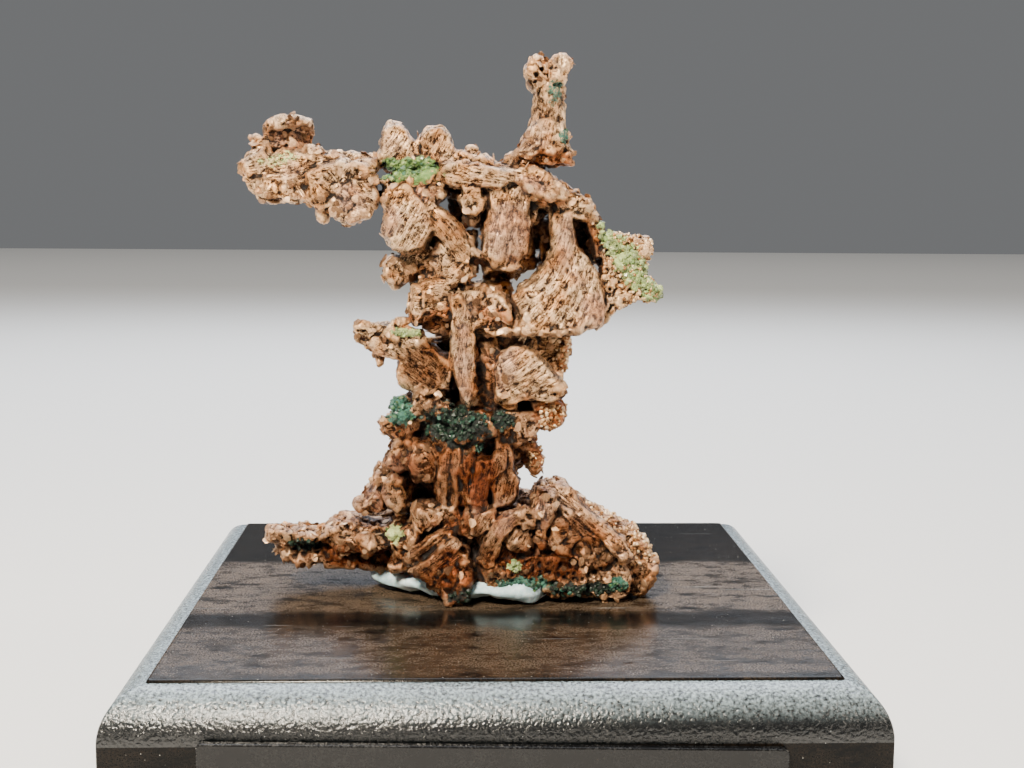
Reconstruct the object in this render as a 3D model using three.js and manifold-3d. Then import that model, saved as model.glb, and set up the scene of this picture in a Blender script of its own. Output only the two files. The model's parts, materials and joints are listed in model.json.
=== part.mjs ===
// A native copper specimen held by mineral tack on a black display base.
// Millimetres, +Z up, +X right, the viewer stands at -Y. The origin is the centre of the base's underside.
import * as THREE from 'three';
import { SimplifyModifier } from 'three/addons/modifiers/SimplifyModifier.js';
import { mergeVertices } from 'three/addons/utils/BufferGeometryUtils.js';
import Module from 'manifold-3d';

const wasm = await Module();
wasm.setup();

// ---- driving dimensions ----
const BASE_WIDTH = 76;         // across the foot of the block
const BASE_TOP_WIDTH = 68;     // across its flat top
const BASE_HEIGHT = 19;
const ROUNDOVER_DROP = 5.2;    // how far the rounded shoulder comes down
const ROUNDOVER_STEPS = 6;
const PLATE_WIDTH = 56;
const PLATE_HEIGHT = 11;
const PLATE_THICKNESS = 0.8;
const PLATE_DROP = 4.95;       // from the top of the block to the plate's upper edge
const PLATE_TURN = 0.9;        // degrees, clockwise: it was stuck on slightly crooked
const PLATE_OFFSET = -0.5;     // to the left of the middle
const TACK_HEIGHT = 2.4;
const GAP = 0.3;               // between pieces that touch
const REACH = 120;             // beyond every limb, for blocks that trim
const FACETS_DROPPED = 0.35;   // share of a joined limb's points that add nothing to its shape
const BLUNTNESS = 0.45;        // of a leaf's edge: 1 is a lens, and near 0 is a flat slab
const RIPPLE = 0.28;           // how far a leaf's faces wander in and out
const KNOBS = 0.16;            // how far a rod's ribs stand out, as a share of its width

// ---- colours, roughness and metalness ----
const COPPER = { color: 0xb98a62, roughness: 0.55, metalness: 0.75 };
const DARK_COPPER = { color: 0x8a5a35, roughness: 0.6, metalness: 0.7 };
const GREEN_COPPER = { color: 0x8fa86f, roughness: 0.75, metalness: 0.3 };
const TACK = { color: 0xc9dde2, roughness: 0.6, metalness: 0 };
const BLACK = { color: 0x101012, roughness: 0.25, metalness: 0 };
const PLATE = { color: 0x17181a, roughness: 0.3, metalness: 0 };

// ---- solids ----

// Closed geometry with only positions, its shared vertices merged.
function closed(geometry) {
  geometry.deleteAttribute('normal');
  geometry.deleteAttribute('uv');
  return mergeVertices(geometry, 1e-4);
}

// Manifold solid of a closed geometry.
function solid(geometry) {
  const merged = closed(geometry);
  return new wasm.Manifold(new wasm.Mesh({
    numProp: 3,
    vertProperties: Float32Array.from(merged.attributes.position.array),
    triVerts: Uint32Array.from(merged.index.array),
  }));
}

// Back from a manifold solid to a geometry.
function geometryOf(manifold) {
  const mesh = manifold.getMesh();
  const geometry = new THREE.BufferGeometry();
  geometry.setAttribute('position', new THREE.BufferAttribute(mesh.vertProperties, 3));
  geometry.setIndex(new THREE.BufferAttribute(mesh.triVerts, 1));
  return geometry;
}

// A joined limb's geometry without the slivers that joining leaves.
async function thinned(manifold) {
  const geometry = geometryOf(manifold);
  const dropped = Math.floor(geometry.attributes.position.count * FACETS_DROPPED);
  const simplified = await new SimplifyModifier().modify(geometry, dropped);
  return withoutFlaps(mergeVertices(simplified, 1e-4));
}

// The same geometry without pairs of triangles that lie back to back and enclose nothing.
function withoutFlaps(geometry) {
  const index = Array.from(geometry.index.array);
  const corners = index.flatMap((_, i) => (i % 3 ? [] : [index.slice(i, i + 3)]));
  const name = (triangle) => [...triangle].sort((a, b) => a - b).join(' ');
  const uses = new Map();
  corners.forEach((triangle) => uses.set(name(triangle), (uses.get(name(triangle)) ?? 0) + 1));
  geometry.setIndex(corners.filter((triangle) => uses.get(name(triangle)) === 1).flat());
  return geometry;
}

// A point on a closed outline, u running from 0 to 1 around it.
function outlineAt(rim, u) {
  const place = THREE.MathUtils.euclideanModulo(u * rim.length, rim.length);
  const from = rim[Math.floor(place)];
  const to = rim[(Math.floor(place) + 1) % rim.length];
  const share = place - Math.floor(place);
  return [from[0] + (to[0] - from[0]) * share, from[1] + (to[1] - from[1]) * share];
}

// A share from -1 to 1 pushed outwards, which turns a round section into one with flat faces.
function blunted(share) {
  return Math.abs(share) < 1e-6 ? 0 : Math.sign(share) * Math.abs(share) ** BLUNTNESS;
}

// A crumpled leaf of copper seen face on. The rim is its outline as [x, z] points, y the depth of its
// middle, lean how far y changes per millimetre along x and z, thick its middle thickness. A cup over
// zero pushes the rim away from the viewer, and one under zero pulls it forward.
function flake({ rim, y, thick, lean = [0, 0], cup = 0, rows = 4 }) {
  const middle = [0, 1].map((axis) => rim.reduce((sum, point) => sum + point[axis], 0) / rim.length);
  const geometry = new THREE.SphereGeometry(1, rim.length, rows);
  const { position, uv } = geometry.attributes;
  for (let i = 0; i < position.count; i += 1) {
    const turn = Math.PI * (1 - uv.getY(i));
    const spread = blunted(Math.sin(turn));
    const [edgeX, edgeZ] = outlineAt(rim, 1 - uv.getX(i));
    const dx = (edgeX - middle[0]) * spread;
    const dz = (edgeZ - middle[1]) * spread;
    const wander = RIPPLE * Math.sin(1.9 * (middle[0] + dx) + y) * Math.cos(1.6 * (middle[1] + dz));
    const depth = y + lean[0] * dx + lean[1] * dz + cup * spread * spread + wander;
    position.setXYZ(i, middle[0] + dx, depth - blunted(Math.cos(turn)) * thick / 2, middle[1] + dz);
  }
  return clockwise(rim) ? solid(geometry) : solid(flipped(geometry));
}

// True when an outline runs clockwise for a viewer at -Y.
function clockwise(rim) {
  let area = 0;
  rim.forEach(([x, z], i) => {
    const [nextX, nextZ] = rim[(i + 1) % rim.length];
    area += x * nextZ - nextX * z;
  });
  return area < 0;
}

// Every triangle of a geometry turned over.
function flipped(geometry) {
  const index = geometry.index;
  for (let i = 0; i < index.count; i += 3) {
    const kept = index.getX(i + 1);
    index.setX(i + 1, index.getX(i + 2));
    index.setX(i + 2, kept);
  }
  return geometry;
}

// A rod or lump along a path of [x, y, z] points, with its half width across the path and its half
// depth along y given at each point. Both ends are rounded.
function rod({ path, width, depth, around = 8, rows = 6 }) {
  const curve = new THREE.CatmullRomCurve3(path.map((point) => new THREE.Vector3(...point)));
  const geometry = new THREE.SphereGeometry(1, around, rows);
  const { position, uv } = geometry.attributes;
  const at = (list, t) => {
    const place = Math.min(t * (list.length - 1), list.length - 1 - 1e-9);
    const low = Math.floor(place);
    return list[low] + (list[low + 1] - list[low]) * (place - low);
  };
  for (let i = 0; i < position.count; i += 1) {
    const t = 1 - uv.getY(i);
    const angle = -2 * Math.PI * uv.getX(i);
    const swell = Math.sqrt(Math.sin(Math.PI * t)) * (1 + KNOBS * Math.sin(3 * angle + 9 * t));
    const point = curve.getPoint(t);
    const along = curve.getTangent(t);
    const across = new THREE.Vector3(along.z, 0, -along.x).normalize();
    point.addScaledVector(across, Math.cos(angle) * swell * at(width, t));
    point.y += Math.sin(angle) * swell * at(depth, t);
    position.setXYZ(i, point.x, point.y, point.z);
  }
  return solid(geometry);
}

// A box between two corners, each [x, y, z].
function block(low, high) {
  const size = high.map((value, axis) => value - low[axis]);
  const geometry = new THREE.BoxGeometry(...size);
  geometry.translate(...high.map((value, axis) => (value + low[axis]) / 2));
  return solid(geometry);
}

// All the leaves and rods of one limb as one solid, cut clear of its neighbours. Each trim is the
// [x low, x high, z low, z high] of a block that is taken away through the whole depth.
function limb(parts, trims) {
  const joined = parts.reduce((whole, part) => whole.add(part));
  return trims.reduce(
    (whole, [x0, x1, z0, z1]) => whole.subtract(block([x0, -REACH, z0], [x1, REACH, z1])),
    joined,
  );
}

// ---- the copper, limb by limb ----

function leftSpur() {
  return limb([
    flake({ y: -1.5, thick: 5, cup: 0.8, rim: [
      [-26.7, 25.3], [-26.5, 26.1], [-25.6, 26.4], [-24, 26.1], [-22.5, 26.7], [-20.4, 26.3],
      [-19, 27], [-17.6, 28], [-16.3, 27.9], [-14.5, 27.2], [-11, 27], [-11, 24.6], [-14, 24.2],
      [-16.5, 24], [-19, 24.9], [-22, 25.3], [-25, 24.6]] }),
    flake({ y: 1, thick: 6, lean: [0, 0.2], rim: [
      [-25.9, 23.1], [-25.3, 24.4], [-22, 25.2], [-17, 25.4], [-11, 25.6], [-10.6, 21.4],
      [-14, 21.1], [-17, 21.9], [-22.8, 21.9]] }),
    flake({ y: 4, thick: 4.5, rim: [
      [-22, 23.2], [-20.6, 25.4], [-17.4, 26.8], [-11, 28], [-10.6, 22], [-16, 22.2]] }),
    rod({ path: [[-17.2, -2.6, 24.9], [-14.6, -3.6, 25.1], [-11, -3.6, 24.8]],
      width: [0.7, 1.1, 1], depth: [1, 1.6, 1.6] }),
  ], [[-11.9, REACH, 0, REACH]]);
}

function foot() {
  const frontLeft = [
    // tall pale leaf and its golden neighbour
    flake({ y: -5.2, thick: 3.6, lean: [0, -0.1], rim: [
      [-11.4, 25.4], [-10, 26.2], [-9.5, 28], [-8.5, 29.9], [-6.3, 30.2], [-6.5, 28.2],
      [-8.2, 27.2], [-8.8, 25.6], [-9.6, 24.6]] }),
    flake({ y: -4.6, thick: 4, rim: [
      [-6.9, 30.4], [-4, 30.4], [-3.5, 28.6], [-3.8, 26.8], [-5.6, 26.6], [-7, 27.2]] }),
    // slanting blades that run down to the left
    flake({ y: -7.2, thick: 2.2, lean: [0.1, -0.2], rim: [
      [-10.3, 24.3], [-8.6, 25.5], [-7, 27], [-5.6, 27.6], [-4.5, 27.5], [-4.2, 26.4],
      [-5.6, 25.6], [-7, 24.6], [-8.4, 23.4], [-9.6, 23.4]] }),
    flake({ y: -8.2, thick: 2, lean: [0.1, -0.2], rim: [
      [-9.6, 22.9], [-7.8, 24.2], [-6, 26], [-4.4, 26.9], [-3.4, 26.2], [-4.6, 24.8],
      [-6.4, 23.2], [-8.2, 22.2]] }),
    // brown lump that comes down to a point
    flake({ y: -7.2, thick: 4.6, lean: [0, 0.15], rim: [
      [-8.8, 22.8], [-6.4, 24.2], [-4.4, 25.6], [-2.6, 25.4], [-2, 23.4], [-2.1, 21.4],
      [-3, 19.4], [-5, 19.2], [-6.2, 21], [-7.8, 21.6]] }),
    flake({ y: -3.5, thick: 5, rim: [
      [-13.6, 26.8], [-10, 27.4], [-8, 25], [-8.6, 22.4], [-12, 22], [-14, 24]] }),
  ];
  const frontMiddle = [
    flake({ y: -6.8, thick: 3.2, rim: [
      [-3.8, 28.2], [-3, 30], [-1.4, 30.5], [0.2, 30.2], [0.3, 28.8], [-1, 27.4], [-2.4, 26.5],
      [-3.7, 27]] }),
    flake({ y: -8.2, thick: 2.4, lean: [0.12, -0.12], rim: [
      [-1.9, 23.8], [-1.3, 26], [0, 27.9], [1, 29.4], [2.7, 30.4], [4, 30.2], [3.2, 29],
      [1.7, 27.9], [0.8, 26.4], [0.5, 24.8], [-0.2, 23.5], [-1.1, 23]] }),
    flake({ y: -7.6, thick: 3.2, rim: [
      [2.6, 29.4], [3.4, 30.4], [4.6, 30.2], [5, 29.2], [4.8, 28], [3.4, 27.8]] }),
    flake({ y: -7, thick: 3.6, rim: [
      [1, 27.2], [2.2, 28.2], [4, 27.9], [4.7, 26.4], [4.1, 25], [2.7, 25], [1.5, 25.8]] }),
    flake({ y: -5.4, thick: 5, rim: [
      [-2.4, 27], [0.4, 29], [4.4, 29.6], [5, 25], [2.6, 23.2], [-1, 23]] }),
  ];
  const wedge = [
    // pale left facet, striated bevel and the dark face under it
    flake({ y: -6.8, thick: 4.6, lean: [-0.3, 0], rim: [
      [4.6, 31.2], [5.8, 32.4], [7.2, 32.2], [7.2, 30.8], [6.6, 29.2], [6, 27.6], [5.9, 26],
      [5.6, 25.2], [4.8, 26], [4.8, 28], [5, 29.6]] }),
    flake({ y: -6.3, thick: 3.2, lean: [0.12, 0.75], rim: [
      [6.6, 30.6], [7.2, 32.3], [9.2, 31.4], [11, 29.4], [13.2, 28], [15.2, 26.4], [16.2, 24.4],
      [15, 24.2], [11.2, 27.7], [8.4, 29.7]] }),
    flake({ y: -6, thick: 5, lean: [0.1, 0.15], rim: [
      [6, 26], [6.3, 28.2], [7.4, 31], [9, 30], [11.2, 28.2], [14.6, 25.2], [14.6, 23.2],
      [12, 23], [9, 24.4]] }),
    flake({ y: -0.5, thick: 9, rim: [
      [4.6, 30], [6, 32], [8.4, 31.8], [11, 29.4], [14, 27.4], [16, 25], [15.5, 22], [6, 22]] }),
  ];
  const goldenEdge = [
    flake({ y: -3.6, thick: 4.5, rim: [
      [11.2, 28.2], [13, 28.6], [15.4, 27.6], [16.8, 26.4], [18, 24.8], [18.3, 23.6], [17, 23],
      [15, 23], [13.4, 25.4]] }),
    flake({ y: -4.4, thick: 4.5, rim: [
      [15, 24.4], [17.2, 24], [18.9, 23], [19, 20.8], [18.2, 19.3], [16.4, 19.3], [15, 21]] }),
  ];
  const skirt = [
    flake({ y: -6.6, thick: 4.6, rim: [
      [-2, 23.4], [1.2, 24.2], [4.4, 24.8], [6.2, 25], [6.2, 22], [5.2, 21], [2.4, 20.6],
      [-0.2, 20.8], [-1.6, 21.8]] }),
    flake({ y: -6.4, thick: 4.4, rim: [
      [5.6, 24.6], [8.4, 24.8], [10.8, 24], [11, 21.6], [9.6, 19.9], [6.8, 19.3], [5.6, 20.6]] }),
    flake({ y: -5.8, thick: 4.6, rim: [
      [10.2, 24], [12.6, 24.2], [15, 24.2], [16.4, 22], [15.8, 19.6], [13, 19.3], [10.4, 20]] }),
  ];
  const core = [
    rod({ path: [[-13.5, 1, 24.6], [-8, 0.5, 25.4], [0, 0, 26], [8, -0.5, 25], [15.5, -1, 22.6]],
      width: [2.6, 4.4, 4.6, 4.2, 2.6], depth: [4, 6.5, 7, 6, 4], around: 10, rows: 8 }),
    rod({ path: [[-5.5, 1, 31.5], [-5, 1, 28], [-4, 0.5, 23.6]],
      width: [6, 7, 6], depth: [5.5, 6, 6], around: 10 }),
  ];
  const back = [
    flake({ y: 6.4, thick: 4.6, cup: -0.8, rim: [
      [-11, 23.4], [-9.6, 27], [-6.6, 29.8], [-2.6, 28.4], [-1.4, 24], [-4, 20.6], [-9, 20.8]] }),
    flake({ y: 7.4, thick: 4, lean: [0.1, 0.1], rim: [
      [-2.6, 24], [-0.4, 28.2], [3.4, 29.6], [6, 27], [6, 22], [3, 19.8], [-1, 20.2]] }),
    flake({ y: 4.6, thick: 4, lean: [-0.1, 0.1], rim: [
      [5.4, 22.4], [6.4, 27.6], [9.4, 29.4], [12.6, 26.4], [14.6, 22.4], [12, 19.6], [7, 19.8]] }),
    flake({ y: 1, thick: 3.6, rim: [
      [13, 20.4], [13.4, 24.6], [16, 24.8], [17.8, 22.4], [17, 19.6], [14.6, 19.4]] }),
  ];
  return limb(
    [...core, ...frontLeft, ...frontMiddle, ...wedge, ...goldenEdge, ...skirt, ...back],
    [
      [-REACH, -11.6, 0, REACH],
      [-REACH, -9.2, 27.85, REACH],
      [-REACH, 3.7, 29.85, REACH],
      [-REACH, REACH, 0, BASE_HEIGHT + GAP],
    ],
  );
}

function leftShoulder() {
  // pale lumps stepping up the left side, between the spur and the trunk
  return [
    flake({ y: -1.6, thick: 4, rim: [
      [-16.1, 29.4], [-15.3, 30.2], [-14.6, 31.5], [-13.5, 31.5], [-12.6, 30.6], [-12.5, 29],
      [-13.1, 28.2], [-14.6, 28.3], [-15.6, 28.7]] }),
    flake({ y: -0.4, thick: 4.4, rim: [
      [-14.8, 31.2], [-13.6, 33], [-12.2, 34.2], [-11, 33.6], [-11.6, 31.6], [-13, 30.8]] }),
    flake({ y: -3.5, thick: 3.3, lean: [0.1, 0], rim: [
      [-12.6, 32.5], [-11.5, 33.7], [-10.5, 33], [-9.8, 31.2], [-10, 29.6], [-11, 28.7],
      [-11.9, 30]] }),
    rod({ path: [[-13.4, 0.5, 29.4], [-11, 0.5, 31.4], [-9, 0.5, 33.6]],
      width: [1.8, 2.6, 3], depth: [2.4, 3.6, 4] }),
  ];
}

function trunk() {
  const flutes = [
    [-5.5, 0.9], [-4.2, 0.75], [-3, 0.85],
  ].map(([x, radius], i) => rod({
    path: [[x + 0.3, -4.6 - 0.3 * (i % 2), 38], [x, -5 - 0.3 * (i % 2), 34], [x - 0.2, -5, 28.6]],
    width: [radius, radius, radius], depth: [1.6, 1.8, 1.6], around: 7 }));
  const front = [
    flake({ y: -3.2, thick: 4.2, rim: [
      [-11.3, 37.5], [-9.8, 37.8], [-8.9, 36.5], [-9.3, 34.8], [-10.6, 33.8], [-12.3, 34.3],
      [-12.2, 35.4]] }),
    flake({ y: -4, thick: 4, rim: [
      [-9, 37.4], [-7.3, 37], [-5.8, 36.2], [-5.8, 34.4], [-6.6, 32.9], [-8.6, 32.9], [-9.7, 34.4],
      [-9.3, 36]] }),
    flake({ y: -5.6, thick: 2.6, rim: [
      [-2, 35.6], [0, 35.8], [0.5, 36.7], [1.6, 36.4], [1.6, 34.6], [0.2, 33.2], [-0.6, 32.6],
      [-0.8, 29.6], [-2.9, 29.6], [-2.9, 31.5], [-2.3, 33.2]] }),
    flake({ y: -4.6, thick: 3.4, rim: [
      [0.4, 38], [1.9, 37.4], [2.4, 35.8], [2.3, 34.2], [3, 32.6], [2.8, 30.8], [1.8, 29.6],
      [0.2, 29.4], [-0.3, 32.5], [0.5, 34.2]] }),
  ];
  const waist = [
    flake({ y: -1.8, thick: 5.6, rim: [
      [-13.4, 39.2], [-12.7, 39.9], [-11.7, 39.7], [-11.2, 40.8], [-11.7, 41.6], [-10.6, 42.3],
      [-9.4, 42.1], [-8.7, 42.9], [-7.2, 42.6], [-7.4, 40.4], [-8.2, 38.6], [-9.4, 37.6],
      [-11, 37.5], [-12.5, 38]] }),
    flake({ y: -3.2, thick: 4.4, rim: [
      [-8.4, 41.8], [-6.6, 42.5], [-4.6, 43.8], [-3.6, 43], [-3.2, 40.6], [-5, 39.4], [-7.4, 40]] }),
    flake({ y: -4.8, thick: 3, rim: [
      [-4.8, 40.2], [-2.6, 40.9], [0, 40.6], [0.4, 38.6], [-1.4, 37.4], [-3.6, 37], [-5, 37.8]] }),
    flake({ y: -3.4, thick: 4, rim: [
      [-0.4, 40.8], [2.6, 41], [5, 40.8], [6.2, 40.2], [5.6, 38.9], [4.4, 37.8], [2.8, 36.6],
      [1, 36.8], [-0.4, 38.6]] }),
    flake({ y: -2.6, thick: 4.6, rim: [
      [4.4, 42], [6.8, 42.4], [8, 41.6], [7.7, 39.6], [6.4, 38.9], [5, 39.2]] }),
  ];
  const core = [
    rod({ path: [[-1.6, 1.2, 45], [-1.8, 1, 39.6], [-3.4, 0.8, 34.5], [-5, 0.8, 27.6]],
      width: [5, 7.4, 6.6, 7.6], depth: [5, 6, 6, 6.6], around: 10, rows: 8 }),
    flake({ y: 4.4, thick: 5, rim: [
      [-10.2, 33], [-9.6, 37], [-7, 40.6], [-3, 39.4], [-3.2, 33.8], [-6, 30]] }),
    flake({ y: 5, thick: 4.4, lean: [0, 0.1], rim: [
      [-4, 34], [-2.6, 39.6], [1.6, 41.4], [4.2, 38.6], [2.6, 33.6], [-0.6, 30.6]] }),
    flake({ y: 2, thick: 4, rim: [
      [-11.6, 36.6], [-11, 39.6], [-8.4, 41], [-6.4, 38.4], [-8, 35.6]] }),
    flake({ y: 1.4, thick: 4.4, rim: [
      [1.6, 38.6], [3.2, 42.1], [5.8, 42.1], [6.6, 39]] }),
  ];
  // small ragged loop standing off the right side
  const loop = rod({ path: [[1, -3.2, 36.2], [3.4, -2.8, 36.8], [5, -2.4, 35.9], [5.3, -2.2, 34.2],
    [4.9, -2, 33.3]], width: [0.5, 0.42, 0.4, 0.38, 0.4], depth: [0.9, 0.8, 0.8, 0.7, 0.6], rows: 12 });
  return limb([...core, ...flutes, ...front, ...waist, ...leftShoulder(), loop], [
    [-REACH, -9.3, 0, 28.15],
    [-9.5, REACH, 0, 30.15],
    [-4.95, 3, 41.05, REACH],
    [-6, REACH, 42.15, REACH],
    [-12, -5.5, 42.6, REACH],
  ]);
}

function paddle() {
  return limb([
    // thick bright lip along the top, then the blade hanging below it
    flake({ y: -4.2, thick: 2.2, lean: [0.1, 0], rim: [
      [-16.2, 50], [-15.8, 51], [-15, 51.5], [-14, 51.1], [-12.4, 51.1], [-11.2, 51.3],
      [-11.2, 50.5], [-9.5, 50.3], [-8, 50], [-8.2, 49.2], [-10, 48.8], [-12, 48.9], [-13.5, 48.5],
      [-14.6, 48.1], [-15.8, 49]] }),
    flake({ y: -2.8, thick: 3, lean: [0.1, -0.12], cup: -0.7, rows: 6, rim: [
      [-14.6, 48.6], [-12.2, 49.3], [-10, 49.2], [-8, 49.2], [-6.5, 47.8], [-5, 46.2], [-4.4, 44.8],
      [-5, 43.2], [-6.8, 42.9], [-8.5, 42.9], [-9.8, 43.4], [-10.9, 43.9], [-11, 45.4],
      [-10.6, 47], [-12, 47.4], [-13.6, 47.7]] }),
    flake({ y: -0.4, thick: 4, lean: [0.2, 0], rim: [
      [-10, 44.4], [-9.8, 47.4], [-8, 48.6], [-5.4, 47], [-4.4, 44.8], [-6, 43], [-8.4, 43.2]] }),
    // back of the blade, closing the gap beside it
    flake({ y: 2.6, thick: 2.8, rim: [
      [-9.6, 44], [-9.2, 47.6], [-7, 48.8], [-4.7, 48.8], [-4.7, 42.6], [-7.4, 42.6]] }),
    rod({ path: [[-13.4, -3.4, 48.2], [-13.2, -3.6, 47.2], [-13.1, -3.7, 46.1]],
      width: [0.6, 0.5, 0.4], depth: [0.7, 0.6, 0.5], around: 7, rows: 6 }),
    rod({ path: [[-12.4, -4, 50.3], [-10.6, -3.8, 51.2], [-9.2, -3.6, 51.2]],
      width: [0.5, 0.35, 0.35], depth: [0.6, 0.5, 0.5], around: 7, rows: 6 }),
  ], [[-4.95, REACH, 0, REACH], [-REACH, REACH, 0, 42.9]]);
}

function leftStem() {
  return limb([
    // broad upper face and the ridge that runs down its right side
    flake({ y: -2.4, thick: 5.4, lean: [0, 0.06], rim: [
      [-12.8, 66.2], [-10.4, 67.2], [-8.6, 65.8], [-7, 64], [-6.4, 61.6], [-7.8, 59.4], [-9.6, 58.7],
      [-11.5, 59.3], [-12.4, 60.8], [-12.6, 62], [-12.1, 63.6], [-12.7, 64.8]] }),
    rod({ path: [[-9.4, -2.6, 66], [-7, -3.2, 63.4], [-4.8, -3.4, 61.2], [-3.6, -3.4, 59.2],
      [-3.4, -3.2, 56]], width: [1.2, 1.5, 1.4, 1.2, 1.2], depth: [1.8, 2, 1.8, 1.6, 1.4] }),
    flake({ y: -2.6, thick: 4, rim: [
      [-6.4, 60.4], [-3.4, 60], [-2.6, 58.4], [-2.4, 56.6], [-3, 55.3], [-5, 55], [-6.4, 56.4],
      [-6.8, 58.4]] }),
    flake({ y: 0.2, thick: 5, rim: [
      [-10.2, 60], [-6.6, 60.4], [-5.8, 57], [-6.6, 54.6], [-9, 54.8], [-10, 57]] }),
    // small dark lobe on the left
    flake({ y: -1, thick: 3, rim: [
      [-12.6, 57.4], [-11.8, 58.7], [-9.6, 58.8], [-8.4, 57], [-9.6, 55.6], [-11.3, 55.1],
      [-12.3, 56.2]] }),
    // knee with its undercut
    flake({ y: -2.8, thick: 4.8, lean: [0, 0.1], rim: [
      [-9.6, 54.8], [-8.2, 56.1], [-6.3, 56.4], [-4.6, 56], [-3.6, 54.8], [-4.2, 52.2], [-5, 51],
      [-6.5, 51.6], [-8, 51.4], [-9.1, 50.8], [-9.4, 52.2]] }),
    flake({ y: -0.6, thick: 4.6, rim: [
      [-8.6, 51.4], [-7.4, 54.4], [-4.6, 54.6], [-3.8, 51.6], [-4.4, 49.4], [-6.5, 49.2],
      [-8.1, 50.2]] }),
    // pale link across to the hanging plate
    flake({ y: -3.2, thick: 1.2, rows: 4, rim: [
      [-3.9, 59.8], [-2.6, 59.6], [-1.6, 59], [-1.2, 58.3], [-2, 57.9], [-3.4, 58.2]] }),
    // small grey lobe beside the top of the ridge
    flake({ y: -1.8, thick: 4.2, rim: [
      [-9.4, 65.9], [-8, 67], [-6, 67], [-5.3, 65.5], [-6.6, 64.6], [-8.6, 64.4]] }),
    // wall behind the gap between the knee and the ridge
    flake({ y: 3, thick: 2.4, rim: [
      [-9.4, 52], [-9, 56], [-6, 58], [-3.6, 61.4], [-1.8, 61.4], [-1.6, 56.4], [-4.6, 55.8], [-5, 51.4]] }),
    // back of the limb
    flake({ y: 2, thick: 4.6, lean: [0, -0.06], rim: [
      [-12, 62], [-10.6, 66.6], [-7.4, 66.2], [-5.4, 62], [-6.2, 57.4], [-8.6, 54.4],
      [-10.6, 57.4]] }),
    flake({ y: 4.4, thick: 3, lean: [0.3, 0.2], rim: [
      [-10.8, 58.8], [-10.2, 62.8], [-7.6, 64.2], [-6, 61], [-7, 57.6], [-9.2, 56.8]] }),
  ], [
    [-REACH, REACH, 66.35, REACH],
    [-4.95, REACH, 0, 55.5],
    [-1.35, REACH, 0, REACH],
  ]);
}

function body() {
  const blade = flake({ y: -4.6, thick: 3.2, lean: [0.25, 0], rim: [
    [-4.9, 54.6], [-3.9, 55.1], [-2.7, 53], [-2.2, 50], [-2, 47], [-1.9, 44.5], [-2, 42],
    [-2.9, 40.9], [-3.7, 43], [-4.5, 45.8], [-4.9, 48.5], [-5, 51.5]] });
  const hollow = flake({ y: -1.4, thick: 4, lean: [0, 0.05], rim: [
    [-2.8, 50.4], [1.4, 50.4], [1, 47], [0.6, 44.5], [1.4, 42], [1.6, 40.4], [-0.6, 40.2],
    [-2.6, 41.2], [-3, 45]] });
  const clamshell = [
    // two striated facets that meet along a slanting ridge
    flake({ y: -4.4, thick: 3.8, lean: [-0.12, 0.1], rim: [
      [0.2, 46.4], [0.9, 47.9], [1.8, 48.9], [3.4, 48.7], [4.9, 47.8], [6.3, 46.3], [8, 44.4],
      [6.6, 43.4], [3.6, 41.8], [1.4, 41.6], [0.4, 42.4], [0.3, 44.5]] }),
    flake({ y: -4.1, thick: 3.8, lean: [-0.1, -0.55], rim: [
      [0.6, 42.6], [3.6, 42.3], [8.1, 44.4], [8.1, 43.3], [6.6, 41.9], [3.8, 40.6], [1.8, 40.2],
      [0.9, 41]] }),
  ];
  const shelf = [
    flake({ y: -3.4, thick: 4.4, lean: [0.05, 0.1], rim: [
      [-4.6, 54.6], [-3, 55.1], [0.3, 55.2], [1.3, 54.1], [1.7, 52], [2.2, 51], [1.4, 50.2],
      [-1, 50], [-2.6, 50.3], [-3.6, 52.4]] }),
    rod({ path: [[-2.8, -3.8, 50.3], [0.6, -4.4, 50.2], [3.6, -4.8, 50.4]],
      width: [0.4, 0.5, 0.45], depth: [1.8, 2, 1.6], around: 7, rows: 6 }),
    flake({ y: -4.8, thick: 2, lean: [-0.3, 0.1], rim: [
      [-0.8, 54.8], [0.5, 54.8], [1.4, 53.2], [1.9, 51.6], [0.4, 51.2], [-0.6, 52.4]] }),
  ];
  const core = [
    rod({ path: [[-1.2, 1, 54.4], [0.8, 0.8, 49], [1, 0.8, 44.6], [0.4, 1, 39]],
      width: [3.8, 4.8, 5.4, 5.4], depth: [4.4, 5.2, 5.4, 5.4], around: 10, rows: 8 }),
    flake({ y: 0.6, thick: 5.6, rim: [
      [3.4, 50.6], [6, 50.2], [9.1, 49.6], [8.9, 48.2], [8.6, 46.8], [8.2, 45], [7.8, 43],
      [8, 41.8], [5.6, 41], [3, 41.4], [2.4, 45]] }),
    flake({ y: 4.2, thick: 4, lean: [0.1, 0], rim: [
      [-4.4, 46], [-3.6, 51], [-0.4, 53.4], [2.2, 50.4], [1.8, 45], [-1, 41.6]] }),
    flake({ y: 5, thick: 3.6, lean: [-0.1, 0.1], rim: [
      [0.4, 44], [1.2, 49.6], [4.4, 52], [7, 48.6], [6.4, 43.4], [3.2, 41]] }),
    flake({ y: 7.2, thick: 3.2, lean: [0.3, -0.3], rim: [
      [-0.6, 46], [0.6, 50], [3.8, 51.4], [5.8, 48.4], [4.6, 44.8], [1.8, 44]] }),
    // wall behind the gap under the tongue
    flake({ y: 3.2, thick: 2.6, rim: [
      [-4.3, 50], [-4.3, 55.3], [-0.8, 55.5], [2.8, 55.4], [3.4, 51]] }),
    flake({ y: 2.6, thick: 3.2, rim: [
      [-4.5, 41.4], [-4.5, 46.6], [-1.2, 47], [-0.8, 41.4]] }),
  ];
  return limb([...core, blade, hollow, ...clamshell, ...shelf], [
    [-REACH, -4.65, 0, REACH],
    [-REACH, REACH, 0, 41.35],
    [2.7, REACH, 0, 42.45],
    [2.05, REACH, 50.65, REACH],
    [3.15, REACH, 49.7, REACH],
  ]);
}

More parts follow.
